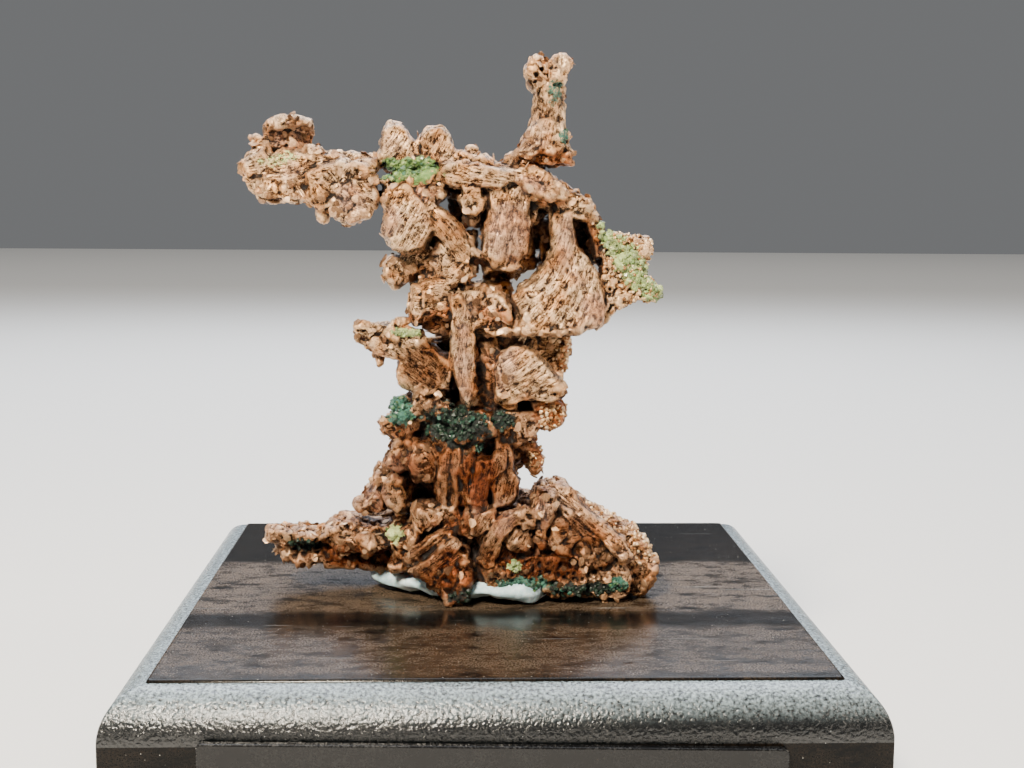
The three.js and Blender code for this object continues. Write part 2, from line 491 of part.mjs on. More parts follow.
// folded shoulder above the fan, with the strip that runs down to the wing and the back wall of the
// hollow between them; the fan and the crown each keep their side of it
function rightShoulder() {
  return [
    flake({ y: -1, thick: 4.8, lean: [0, 0.1], rim: [
      [7.4, 66.2], [9.2, 66.1], [11.2, 65.1], [11.7, 63.6], [11, 62.6], [9.2, 63.1], [8.4, 64],
      [7, 64.4]] }),
    flake({ y: 0, thick: 4.2, lean: [0.1, 0], rim: [
      [10.6, 64.4], [12.6, 62.5], [13.8, 61.3], [14.4, 60], [13, 58.2], [11.9, 58.2], [11.5, 60.4],
      [10.8, 62]] }),
    flake({ y: 2.4, thick: 2.6, lean: [0.1, 0.05], rim: [
      [7.6, 65.6], [11.2, 65], [13.4, 61.4], [13.6, 57.8], [11.2, 56.8], [8.6, 58], [7.8, 62]] }),
  ];
}

function fan() {
  return limb([
    ...rightShoulder(),
    // smooth fan, narrow at the top and widest along its lower rim
    flake({ y: -3.6, thick: 4.4, lean: [-0.06, 0.16], cup: 1, rows: 6, rim: [
      [6.7, 64.4], [8.4, 64.2], [9, 62.4], [9.7, 60], [11, 58.2], [12.1, 56.6], [12.8, 54.2],
      [13.1, 52.2], [12.4, 50.8], [10, 50.1], [6, 49.9], [3.4, 50.1], [2.1, 51.3], [1.7, 53.6],
      [4, 55.7], [5.8, 57.6], [6.8, 59.6], [6.6, 62]] }),
    flake({ y: -4.6, thick: 3, lean: [0.02, 0.25], rim: [
      [3, 51.4], [3.4, 54.4], [7, 56.6], [11, 56], [12.4, 53], [11.4, 50.8], [7, 50.1],
      [4, 50.3]] }),
    rod({ path: [[3, -5.4, 50.4], [7, -5.8, 50.2], [11.4, -5, 50.9]],
      width: [0.4, 0.5, 0.6], depth: [1.2, 1.4, 1.4], around: 7, rows: 6 }),
    flake({ y: 0.4, thick: 4.4, lean: [0.05, 0.1], rim: [
      [4, 52], [6.4, 57.6], [8, 62.4], [10.4, 59], [12, 54.4], [10, 50.8], [6, 50.8]] }),
    flake({ y: 2.8, thick: 3.4, lean: [0.1, 0.15], rim: [
      [4.6, 53], [6.4, 58.6], [9, 60], [11.4, 56], [9.6, 51.8], [6.6, 51.4]] }),
    // wall behind the hollow on the left of its neck
    flake({ y: 3.6, thick: 2.4, rim: [
      [5.7, 63], [8.6, 63.2], [9, 57], [8, 52.4], [5.7, 52.4]] }),
    flake({ y: 5, thick: 3, lean: [-0.3, 0.3], rim: [
      [5.6, 54.8], [7, 59], [9.8, 60], [11.2, 56.8], [9.2, 53.6], [7, 53.2]] }),
  ], [
    [-REACH, 2.35, 0, REACH],
    [-REACH, 3.45, 0, 50.95],
    [-REACH, REACH, 0, 50.0],
    [-REACH, REACH, 63.85, REACH],
    [12.55, REACH, 0, REACH],
  ]);
}

function crown() {
  const ridge = rod({ path: [[-13.4, 1, 68.6], [-9, 0.4, 68.8], [-4, 0, 68.8], [0, -0.2, 68],
    [3.4, -0.4, 67.8], [7, -0.6, 66.4], [10.4, -0.6, 64]],
  width: [1.2, 2, 1.9, 1.3, 1.6, 1.4, 1.2], depth: [2.6, 3.6, 3.4, 2.8, 2.8, 2.6, 2],
  around: 10, rows: 14 });
  const humps = [
    flake({ y: 1.2, thick: 4, lean: [0, 0.1], rim: [
      [-13, 69.6], [-12.9, 72], [-12.6, 73.3], [-11.3, 74], [-10.4, 73.4], [-9.6, 72.2],
      [-8.4, 71], [-7.8, 69.6], [-10, 68]] }),
    flake({ y: 0.2, thick: 4.2, lean: [0, 0.1], rim: [
      [-8.7, 71.8], [-7.7, 73.3], [-6, 73.3], [-5.1, 72.3], [-4.5, 70.8], [-3.6, 69.6],
      [-5.6, 68], [-8.4, 69.4]] }),
    flake({ y: 0, thick: 2.6, rim: [
      [-4.4, 69.6], [-3, 70.6], [-2.8, 71.1], [-2.1, 70.9], [-1.8, 69.8], [-0.4, 69.2], [-2, 68]] }),
    flake({ y: 0.8, thick: 2.4, rim: [
      [-15, 69.4], [-14.9, 71], [-14.1, 71.7], [-13.2, 70.8], [-12, 69.8], [-13, 68.6]] }),
  ];
  const leftFace = [
    flake({ y: -2.4, thick: 2.4, lean: [0, -0.1], rim: [
      [-13.2, 67.2], [-10.6, 68.2], [-8, 67.8], [-6, 68.4], [-5.4, 67.2], [-8, 66.4], [-10.6, 66.5],
      [-12.6, 66.5]] }),
    // bright folded strip below the ridge
    flake({ y: -3, thick: 2, lean: [0, -0.2], rim: [
      [-6.2, 69.2], [-3.4, 69.3], [0, 68.6], [2, 68.2], [2.6, 67.2], [0.6, 66.6], [-1.6, 66.7],
      [-4, 66.4], [-6, 67]] }),
  ];
  const pod = [
    flake({ y: -2.2, thick: 3.2, rim: [
      [-4, 65.2], [-3.2, 67], [-1.8, 67], [-1, 65], [-1.2, 64], [-2, 63.3], [-3.3, 63.5]] }),
    flake({ y: -1.2, thick: 2.2, rim: [
      [-3.6, 64.4], [-1.4, 64.4], [-1.4, 62.8], [-2, 62.2], [-3.2, 62.3]] }),
  ];
  const tongue = [
    flake({ y: -1.8, thick: 3.8, lean: [0.06, 0.08], cup: 0.6, rows: 6, rim: [
      [-1.2, 67.4], [2.6, 68], [4.1, 66.2], [4.4, 63.8], [4.3, 61.5], [3.9, 59], [3, 57.8],
      [1.5, 57.6], [0, 57.2], [-1, 57.9], [-1.2, 60], [-1, 62], [-0.5, 64.5]] }),
    flake({ y: 1, thick: 3.4, rim: [
      [-0.6, 67], [2.8, 67.4], [4.6, 64.4], [4.2, 60.6], [2.2, 58.6], [0, 59.6], [-0.4, 63]] }),
    rod({ path: [[-0.9, -1.8, 58.2], [1, -2, 57.5], [3, -1.8, 57.6], [3.7, -1.6, 56.8]],
      width: [0.6, 0.5, 0.5, 0.35], depth: [1.4, 1.4, 1.2, 0.7], around: 7, rows: 7 }),
    flake({ y: -0.6, thick: 2.4, rim: [
      [4, 65], [5, 65], [5.5, 63.6], [4.9, 62.8], [4, 62.4]] }),
  ];
  const cap = [
    flake({ y: -3.2, thick: 1.8, lean: [-0.1, 0.35], rim: [
      [3.2, 68.2], [4.6, 68.8], [6.2, 67.9], [8, 66.2], [8.3, 65.3], [6.3, 65.2], [5, 65.9],
      [3.6, 66.4]] }),
    flake({ y: -2, thick: 2, lean: [0, -0.3], rim: [
      [4.3, 65.4], [5.2, 66.2], [7.9, 65.6], [6.6, 64.2], [5.2, 64.3]] }),
  ];
  const back = [
    // walls that close the hollows between the pod, the tongue and the fan
    flake({ y: 3.4, thick: 2.4, rim: [
      [-5.2, 66.4], [-1, 67], [4.6, 66], [5.3, 60], [5, 57.2], [3, 55.8], [-0.9, 55.8], [-0.9, 62.2],
      [-5, 62.2]] }),
    flake({ y: 3.2, thick: 3.4, lean: [0, 0.2], rim: [
      [-12.4, 66.8], [-11, 70.6], [-7.6, 71.6], [-5.4, 68.6], [-6.6, 65.6], [-9.6, 64.8]] }),
    flake({ y: 3, thick: 3.4, lean: [0.1, 0.2], rim: [
      [-6, 66], [-4.6, 70], [-0.6, 69.4], [1.4, 66.4], [-1, 64]] }),
    flake({ y: 5, thick: 2.8, lean: [0.1, 0.3], rim: [
      [-4.2, 66.2], [-2.8, 69.2], [1.4, 69.4], [4.2, 67.2], [2.6, 64.8], [-1.4, 64.6]] }),
    flake({ y: 2.7, thick: 3.1, lean: [0, 0.15], rim: [
      [0.3, 65.3], [2.4, 68.6], [6, 68], [9, 64.9], [6.6, 63.4], [3, 63.6]] }),
  ];
  return limb(
    [ridge, ...humps, ...leftFace, ...pod, ...tongue, ...cap, ...rightShoulder(), ...back],
    [
      [-REACH, -13.05, 0, REACH],
      [-REACH, -5.45, 0, 66.65],
      [5.6, REACH, 0, 64.15],
      [-REACH, -1.05, 0, 61.9],
      [0.9, 9.6, 69.05, REACH],
    ],
  );
}

function finger() {
  return limb([
    rod({ path: [[5.6, 0.4, 68.4], [6, 0.2, 71], [6.5, 0, 74.4], [6.4, -0.2, 77], [6.2, -0.4, 80.8]],
      width: [3.4, 3, 1.75, 1.9, 2.3], depth: [2.4, 2.2, 1.5, 1.7, 1.8], around: 10, rows: 12 }),
    // front skin with its ragged lower lip, and the flap set back under it
    flake({ y: -1.5, thick: 2, lean: [0, 0.12], rim: [
      [2.6, 70.4], [3.3, 71.9], [4.2, 73.4], [6.2, 74.6], [8.1, 74], [8.5, 72.4], [8.7, 71.2],
      [7.4, 70.8], [6.8, 70.3], [5.4, 70.5], [4, 70]] }),
    flake({ y: -0.2, thick: 2.4, lean: [0, -0.1], rim: [
      [1, 69.2], [2.8, 70.8], [4.4, 72.4], [8.6, 72], [9, 70.4], [9.2, 69.3], [7.8, 68.4],
      [6.5, 68.2], [4.6, 68.6], [2.6, 68.8]] }),
    flake({ y: -0.4, thick: 3, lean: [0.1, 0], rim: [
      [3.5, 79.2], [3.8, 80.4], [4.2, 81.2], [4.8, 81.5], [5.4, 81], [6, 80.3], [6, 78.6],
      [4.8, 77.2], [4.1, 78]] }),
    flake({ y: -0.4, thick: 2.8, lean: [-0.1, 0], rim: [
      [6.2, 80.6], [7, 81.2], [8.2, 81.5], [8.7, 81.1], [9, 80.2], [8.4, 79.4], [7.9, 79.1],
      [7.8, 78.2], [6.4, 78.2]] }),
    rod({ path: [[5.2, -0.4, 74.7], [4.7, -0.4, 74.7]], width: [0.4, 0.25], depth: [0.4, 0.3],
      around: 6, rows: 4 }),
    flake({ y: 2, thick: 1.8, lean: [0, 0.1], rim: [
      [3.4, 70], [4.6, 73.4], [6.6, 75.4], [8.2, 73], [8.4, 70], [6, 69.4]] }),
  ], [[-REACH, REACH, 0, 69.35]]);
}

function wing() {
  return limb([
    flake({ y: -1.4, thick: 3, lean: [0.05, 0.1], rim: [
      [12, 60], [13.8, 61.6], [14.8, 60.9], [16.2, 61.2], [17.2, 60.8], [18.2, 59.8], [17.7, 58.6],
      [17.4, 57.4], [18, 56.1], [19, 54.8], [19.9, 54.2], [19.2, 53.3], [18, 53.3], [16.6, 53.6],
      [15, 53.5], [14, 52.3], [13, 51], [12, 53], [12, 56.6]] }),
    flake({ y: 0.8, thick: 2.6, rim: [
      [12, 58.8], [14.4, 60.4], [16.6, 60], [16.4, 57], [17, 55], [14.6, 54], [12, 54.4]] }),
    rod({ path: [[16.6, -1.2, 60.2], [17.8, -1.6, 60.1], [18.4, -1.6, 59.5]],
      width: [0.5, 0.4, 0.25], depth: [0.6, 0.5, 0.3], around: 6, rows: 5 }),
  ], [[-REACH, 12.85, 0, REACH]]);
}

function leftArm() {
  return limb([
    // curled grey flake standing at the back, its top edge rolled forward
    flake({ y: 2, thick: 1.8, lean: [0, -0.1], rim: [
      [-26.6, 72.6], [-26.4, 73.5], [-24.5, 73.8], [-23.2, 74.3], [-21.3, 74.1], [-21, 72.8],
      [-21.2, 71.6], [-20.8, 70], [-22.5, 69], [-24.5, 69.2], [-26.2, 70.2]] }),
    rod({ path: [[-26.9, 1.2, 73.4], [-25, 1, 73.5], [-23, 0.8, 73.9], [-21.2, 1.2, 73.8]],
      width: [0.5, 0.5, 0.55, 0.4], depth: [1.2, 1.7, 1.8, 1.2] }),
    flake({ y: 0.6, thick: 2.2, rim: [
      [-27.8, 70.4], [-27.8, 72], [-26.6, 72.2], [-25.8, 71.2], [-25.6, 69.6], [-27, 69.4]] }),
    // long upper leaf
    flake({ y: -1.2, thick: 3, lean: [0, 0.15], rim: [
      [-28.8, 68.2], [-28.1, 70.2], [-25.5, 70.2], [-22, 70.7], [-19.8, 71.2], [-19, 70.3],
      [-17, 69.9], [-17, 69], [-19.5, 68.4], [-22, 67.8], [-25, 67.4], [-28, 67.2]] }),
    // lower leaves, each overlapping the next
    flake({ y: -2.2, thick: 3, lean: [0.05, 0.1], rim: [
      [-28, 67.3], [-25, 68], [-21.2, 68], [-20.6, 66.4], [-21, 64.9], [-22.5, 64.6],
      [-23.7, 65], [-26.5, 65], [-27.5, 66]] }),
    flake({ y: -2.8, thick: 3.4, lean: [0.05, 0.05], rim: [
      [-21.4, 67.9], [-19.5, 68.8], [-17, 69.4], [-14.4, 69], [-13.4, 67.6], [-15.6, 66],
      [-17.6, 65.6], [-18.6, 64.4], [-19.8, 63.7], [-21, 64.5]] }),
    flake({ y: -3.6, thick: 4, lean: [0, 0.05], rim: [
      [-18.1, 66], [-16, 67.6], [-13.6, 67.2], [-13, 65.8], [-13.1, 64.3], [-14, 63.6],
      [-15.4, 62.5], [-16.5, 62.1], [-18, 62.8], [-18.2, 64.4]] }),
    rod({ path: [[-19.4, -2.4, 64.4], [-19.5, -2.6, 63.6], [-19.3, -2.6, 62.7]],
      width: [0.6, 0.5, 0.35], depth: [0.7, 0.6, 0.4], around: 7, rows: 6 }),
    rod({ path: [[-21, 0.4, 68.8], [-17, 0.4, 69], [-12, 0.6, 68.8]],
      width: [1.4, 1.2, 1.4], depth: [2.4, 2.2, 2.4] }),
    // back of the arm
    flake({ y: 3.4, thick: 2.6, lean: [0.1, 0.2], rim: [
      [-23.4, 66.4], [-21.6, 69.4], [-18.2, 69], [-16.8, 66.6], [-19.6, 65], [-22, 65]] }),
    flake({ y: 1.6, thick: 3.4, lean: [0, 0.1], rim: [
      [-27, 66.6], [-26.4, 69.8], [-22, 70], [-18.6, 69.4], [-19, 65.6], [-23, 65.2]] }),
    flake({ y: -0.2, thick: 5.6, rim: [
      [-19.6, 65.4], [-18.6, 69.4], [-14.6, 69.6], [-13.6, 66.4], [-15.6, 63.4]] }),
  ], [[-13.35, REACH, 0, REACH]]);
}

// ---- tack, base and plate ----

// Pressed lump of tack under the foot, wider and taller by the given clearance.
function tackPad(clearance) {
  const plan = [[-14.6, 1], [-12, -3.4], [-7.4, -6.6], [-2.6, -8.6], [1.6, -9.6], [5.4, -8.6],
    [7.2, -4], [6.4, 2.6], [2.4, 7.4], [-4.6, 8.2], [-11.2, 6]];
  const middle = [-4, 0];
  const geometry = new THREE.SphereGeometry(1, plan.length, 4);
  const { position, uv } = geometry.attributes;
  for (let i = 0; i < position.count; i += 1) {
    const turn = Math.PI * (1 - uv.getY(i));
    const [edgeX, edgeY] = outlineAt(plan, uv.getX(i));
    const away = new THREE.Vector2(edgeX - middle[0], edgeY - middle[1]);
    away.setLength((away.length() + clearance) * Math.sin(turn));
    const height = TACK_HEIGHT / 2 + (TACK_HEIGHT / 2 + clearance) * Math.cos(turn);
    position.setXYZ(i, middle[0] + away.x, middle[1] + away.y, BASE_HEIGHT + GAP + height);
  }
  return solid(geometry);
}

// Square block with a rounded shoulder: a four-sided lathe turned to face the viewer.
function displayBase() {
  const corner = Math.SQRT2 / 2;
  const profile = [new THREE.Vector2(0, 0), new THREE.Vector2(BASE_WIDTH * corner, 0)];
  for (let i = 0; i <= ROUNDOVER_STEPS; i += 1) {
    const angle = (Math.PI / 2) * (i / ROUNDOVER_STEPS);
    const halfWidth = BASE_TOP_WIDTH / 2 + (BASE_WIDTH - BASE_TOP_WIDTH) / 2 * Math.cos(angle);
    const height = BASE_HEIGHT - ROUNDOVER_DROP * (1 - Math.sin(angle));
    profile.push(new THREE.Vector2(halfWidth * 2 * corner, height));
  }
  profile.push(new THREE.Vector2(0, BASE_HEIGHT));
  const geometry = new THREE.LatheGeometry(profile, 4, Math.PI / 4);
  geometry.rotateX(Math.PI / 2);
  return solid(geometry);
}

// Thin blank plate on the front of the block.
function labelPlate() {
  const geometry = new THREE.BoxGeometry(PLATE_WIDTH, PLATE_THICKNESS, PLATE_HEIGHT);
  geometry.rotateY(THREE.MathUtils.degToRad(PLATE_TURN));
  geometry.translate(
    PLATE_OFFSET,
    -BASE_WIDTH / 2 - GAP - PLATE_THICKNESS / 2,
    BASE_HEIGHT - PLATE_DROP - PLATE_HEIGHT / 2,
  );
  return solid(geometry);
}

// ---- the scene graph ----

function named(name, geometry, look) {
  geometry.computeVertexNormals();
  const mesh = new THREE.Mesh(geometry, new THREE.MeshStandardMaterial(look));
  mesh.name = name;
  return mesh;
}

const specimen = new THREE.Group();
specimen.add(
  named('copper_foot', await thinned(foot().subtract(tackPad(GAP))), DARK_COPPER),
  named('copper_left_spur', await thinned(leftSpur()), DARK_COPPER),
  named('copper_trunk', await thinned(trunk()), DARK_COPPER),
  named('copper_paddle', await thinned(paddle()), COPPER),
  named('copper_left_stem', await thinned(leftStem()), COPPER),
  named('copper_body', await thinned(body()), COPPER),
  named('copper_fan', await thinned(fan()), COPPER),
  named('copper_crown', await thinned(crown()), COPPER),
  named('copper_left_arm', await thinned(leftArm()), COPPER),
  named('copper_finger', await thinned(finger()), COPPER),
  named('copper_right_wing', await thinned(wing()), GREEN_COPPER),
);

const stand = new THREE.Group();
stand.add(
  named('mineral_tack', geometryOf(tackPad(0)), TACK),
  named('display_base', geometryOf(displayBase()), BLACK),
  named('label_plate', geometryOf(labelPlate()), PLATE),
);

const part = new THREE.Group();
part.add(stand, specimen);

export default part;
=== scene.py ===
"""Native copper specimen on its display base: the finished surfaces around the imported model.

The copper limbs are copied from the frame, welded into one skin, crumpled, and parted again at
their forks. Malachite and copper grains sit on that skin. Lengths are millimetres until they
reach a mesh, which is in metres.
"""
import json
import logging
import math
from collections.abc import Callable
from dataclasses import dataclass, field
from enum import Enum

import bmesh
import bpy
import numpy as np
from mathutils import Euler, Matrix, Vector
from mathutils.bvhtree import BVHTree

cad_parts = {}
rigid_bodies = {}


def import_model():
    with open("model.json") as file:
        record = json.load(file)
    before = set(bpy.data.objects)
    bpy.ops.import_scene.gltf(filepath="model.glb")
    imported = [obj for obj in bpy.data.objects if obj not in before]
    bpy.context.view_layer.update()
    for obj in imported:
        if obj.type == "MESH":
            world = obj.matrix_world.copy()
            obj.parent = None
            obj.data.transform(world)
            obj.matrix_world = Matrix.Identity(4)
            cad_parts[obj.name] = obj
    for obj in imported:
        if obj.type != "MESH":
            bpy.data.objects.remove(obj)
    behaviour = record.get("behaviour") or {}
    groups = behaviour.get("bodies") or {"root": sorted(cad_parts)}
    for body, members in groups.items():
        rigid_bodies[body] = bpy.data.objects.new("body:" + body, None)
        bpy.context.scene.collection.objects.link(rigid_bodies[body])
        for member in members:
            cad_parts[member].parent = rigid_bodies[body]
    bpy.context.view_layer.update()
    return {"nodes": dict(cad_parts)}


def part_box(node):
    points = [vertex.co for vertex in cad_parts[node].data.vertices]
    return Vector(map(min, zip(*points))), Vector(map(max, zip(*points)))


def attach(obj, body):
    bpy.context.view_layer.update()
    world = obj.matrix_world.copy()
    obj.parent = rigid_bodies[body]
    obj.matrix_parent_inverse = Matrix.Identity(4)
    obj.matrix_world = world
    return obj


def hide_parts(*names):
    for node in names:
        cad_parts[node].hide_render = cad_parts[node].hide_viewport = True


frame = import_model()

MM = 0.001
BODY = "root"
LOG = logging.getLogger("specimen")


# ---- small helpers ----

def tone(code: str) -> tuple[float, float, float, float]:
    """Turns a colour written as six hex digits into linear light.

    Args:
        code: Six hex digits, red first.

    Returns:
        Red, green, blue and full opacity, each from 0 to 1.
    """
    parts = [int(code[at:at + 2], 16) / 255 for at in (0, 2, 4)]
    linear = [part / 12.92 if part <= 0.04045 else ((part + 0.055) / 1.055) ** 2.4 for part in parts]
    return (*linear, 1.0)


def eased(low: float, high: float, values: np.ndarray) -> np.ndarray:
    """Gives a smooth step.

    Args:
        low: The value that gives 0.
        high: The value that gives 1.
        values: The values to step.

    Returns:
        The step for each value, from 0 to 1.
    """
    share = np.clip((values - low) / (high - low), 0, 1)
    return share * share * (3 - 2 * share)


class Slot(Enum):
    """The record's material slots."""

    COPPER = "copper"
    DARK_COPPER = "dark_copper"
    MALACHITE = "malachite"
    TACK = "tack"
    BASE = "black_base"
    PLATE = "plate"


def linked(name: str, data: bpy.types.ID) -> bpy.types.Object:
    """Puts an object in the scene.

    Args:
        name: The object's name.
        data: Its mesh, lamp or camera.

    Returns:
        The object.
    """
    made = bpy.data.objects.new(name, data)
    bpy.context.scene.collection.objects.link(made)
    return made


def rounded(bm: bmesh.types.BMesh, edges: list[bmesh.types.BMEdge], width: float,
            segments: int) -> None:
    """Rounds edges off.

    Args:
        bm: The shape.
        edges: The edges to round.
        width: How far the rounding reaches from each edge.
        segments: How many facets each rounding has.
    """
    bmesh.ops.bevel(bm, geom=edges, offset=width, offset_type="OFFSET", segments=segments,
                    profile=0.5, affect="EDGES", material=-1)


def place_piece(bm: bmesh.types.BMesh, name: str, slot: Slot, *nodes: str) -> bpy.types.Object:
    """Makes a finished piece from a bmesh in millimetres and gives it to the frame.

    Args:
        bm: The shape, in millimetres. It is freed.
        name: The piece's name.
        slot: The record's material slot.
        nodes: The frame's nodes that the piece stands for.

    Returns:
        The piece's object.
    """
    bmesh.ops.scale(bm, vec=(MM, MM, MM), verts=bm.verts)
    mesh = bpy.data.meshes.new(name)
    bm.to_mesh(mesh)
    bm.free()
    return adopt(mesh, name, slot, *nodes)


def adopt(mesh: bpy.types.Mesh, name: str, slot: Slot, *nodes: str) -> bpy.types.Object:
    """Links a mesh in metres as a piece of the specimen.

    Args:
        mesh: The shape, in metres.
        name: The piece's name.
        slot: The record's material slot; not used.
        nodes: The frame's nodes that the piece stands for.

    Returns:
        The piece's object.
    """
    piece = linked(name, mesh)
    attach(piece, BODY)
    if nodes:
        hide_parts(*nodes)
    LOG.info("%s: %d faces", name, len(mesh.polygons))
    return piece


# ---- repeatable noise ----

class Lattice:
    """Noise on points in millimetres that comes out the same on every run."""

    def __init__(self, seed: int) -> None:
        """Draws the tables.

        Args:
            seed: Picks the pattern.
        """
        rng = np.random.default_rng(seed)
        self.order = rng.permutation(256).astype(np.int32)
        leans = rng.normal(size=(256, 3))
        self.leans = (leans / np.linalg.norm(leans, axis=1)[:, None]).astype(np.float32)
        self.jitter = rng.uniform(0.08, 0.92, size=(256, 3)).astype(np.float32)
        self.level = rng.uniform(-1, 1, size=256).astype(np.float32)

    def _hash(self, corner: np.ndarray) -> np.ndarray:
        """Gives each whole-number corner its table entry.

        Args:
            corner: Whole-number places.

        Returns:
            An entry of 0 to 255 for each.
        """
        first = self.order[corner[:, 0] & 255]
        second = self.order[(first + corner[:, 1]) & 255]
        return self.order[(second + corner[:, 2]) & 255]

    def smooth(self, points: np.ndarray, size: float | tuple[float, float, float]) -> np.ndarray:
        """Gives rolling noise.

        Args:
            points: The places, in millimetres.
            size: The width of one swell, or its width along each axis.

        Returns:
            A value of about -1 to 1 for each point.
        """
        scaled = (points / np.asarray(size, np.float32)).astype(np.float32)
        floor = np.floor(scaled)
        low = floor.astype(np.int32)
        inside = scaled - floor
        blend = inside * inside * inside * (inside * (inside * 6 - 15) + 10)
        shares = (1 - blend, blend)
        total = np.zeros(len(points), np.float32)
        for step in np.ndindex(2, 2, 2):
            corner = np.array(step, np.int32)
            lean = self.leans[self._hash(low + corner)]
            swell = np.einsum("ij,ij->i", inside - corner.astype(np.float32), lean)
            for axis, end in enumerate(step):
                swell *= shares[end][:, axis]
            total += swell
        return total * 1.6

    def crumpled(self, points: np.ndarray, size: float) -> np.ndarray:
        """Gives crumpled foil: slopes that meet in sharp ridges and in sharp valleys.

        Args:
            points: The places, in millimetres.
            size: The width of one fold.

        Returns:
            A height of about -1 to 1 for each point.
        """
        ridge = np.abs(self.smooth(points, size))
        valley = np.abs(self.smooth(points + 51.3, size * 0.83))
        return 2.2 * (valley - ridge)

    def layered(self, points: np.ndarray, size: float, layers: int, fade: float = 0.5) -> np.ndarray:
        """Gives noise with finer noise laid over it.

        Args:
            points: The places, in millimetres.
            size: The width of the widest swell.
            layers: How many layers, each half as wide as the last.
            fade: How strong each layer is beside the last.

        Returns:
            A value of about -1 to 1 for each point.
        """
        total = np.zeros(len(points), np.float32)
        for layer in range(layers):
            total += self.smooth(points + 13.7 * layer, size * 0.5 ** layer) * fade ** layer
        return total

    def cells(self, points: np.ndarray, size: float) -> tuple[np.ndarray, ...]:
        """Finds the scattered cell that each point lies in.

        Args:
            points: The places, in millimetres.
            size: The mean width of a cell.

        Returns:
            How far the point is from the cell's seed, the cell's table entry, and the way from the
            seed to the point, both lengths in cell widths.
        """
        scaled = (points / size).astype(np.float32)
        low = np.floor(scaled).astype(np.int32)
        near = np.full(len(points), np.inf, np.float32)
        entry = np.zeros(len(points), np.int32)
        offset = np.zeros((len(points), 3), np.float32)
        for step in np.ndindex(3, 3, 3):
            corner = low + (np.array(step, np.int32) - 1)
            found = self._hash(corner)
            away = scaled - (corner + self.jitter[found])
            distance = np.sqrt(np.einsum("ij,ij->i", away, away))
            closer = distance < near
            near = np.where(closer, distance, near)
            entry = np.where(closer, found, entry)
            offset = np.where(closer[:, None], away, offset)
        return near, entry, offset

    def facets(self, points: np.ndarray, size: float) -> np.ndarray:
        """Gives torn leaves: flat facets at odd tilts, each stepped above or below the next.

        Args:
            points: The places, in millimetres.
            size: The mean width of a facet.

        Returns:
            A height of about -1 to 1 for each point.
        """
        warped = points + 0.35 * size * np.stack(
            [self.smooth(points + shift, size * 1.3) for shift in (0.0, 31.0, 57.0)], axis=1)
        _, entry, offset = self.cells(warped, size)
        tilt = np.einsum("ij,ij->i", offset, self.leans[entry])
        return 1.3 * tilt + 0.5 * self.level[entry]


# ---- where each look lies on the copper ----

@dataclass(frozen=True)
class Patch:
    """A soft-edged patch of the specimen, as an ellipsoid in millimetres."""

    x: float
    z: float
    half_x: float
    half_z: float
    y: float = -5.0
    half_y: float = 6.0
    turn: float = 0.0

    def cover(self, points: np.ndarray, ragged: np.ndarray | float = 0.0) -> np.ndarray:
        """Tells how far each point is inside.

        Args:
            points: The places, in millimetres.
            ragged: What to add to each point's distance, to break the edge up.

        Returns:
            0 outside to 1 well inside.
        """
        turned = math.radians(self.turn)
        across = points[:, 0] - self.x
        up = points[:, 2] - self.z
        along = across * math.cos(turned) + up * math.sin(turned)
        over = up * math.cos(turned) - across * math.sin(turned)
        away = np.sqrt((along / self.half_x) ** 2 + (over / self.half_z) ** 2
                       + ((points[:, 1] - self.y) / self.half_y) ** 2)
        return 1 - eased(0.7, 1.1, away + ragged)


@dataclass(frozen=True)
class Pleats:
    """A patch whose fine folds all run one way, or fan out from a point."""

    patch: Patch
    heading: float = 0.0
    fan_from: tuple[float, float] | None = None
    depth: float = 0.07
    width: float = 0.75

    def coordinates(self, points: np.ndarray) -> np.ndarray:
        """Lays the folds' own coordinates.

        Args:
            points: The places, in millimetres.

        Returns:
            For each point how far it is across the folds, along them, and in depth, in millimetres.
        """
        if self.fan_from is None:
            run = math.radians(self.heading)
            across = points[:, 2] * math.cos(run) - points[:, 0] * math.sin(run)
            along = points[:, 0] * math.cos(run) + points[:, 2] * math.sin(run)
            return np.stack([across, along, points[:, 1]], axis=1)
        away_x = points[:, 0] - self.fan_from[0]
        away_z = points[:, 2] - self.fan_from[1]
        reach = np.hypot(away_x, away_z)
        swirl = np.arctan2(away_x, -away_z) + 0.035 * reach
        return np.stack([swirl * 9.0, reach, points[:, 1]], axis=1)


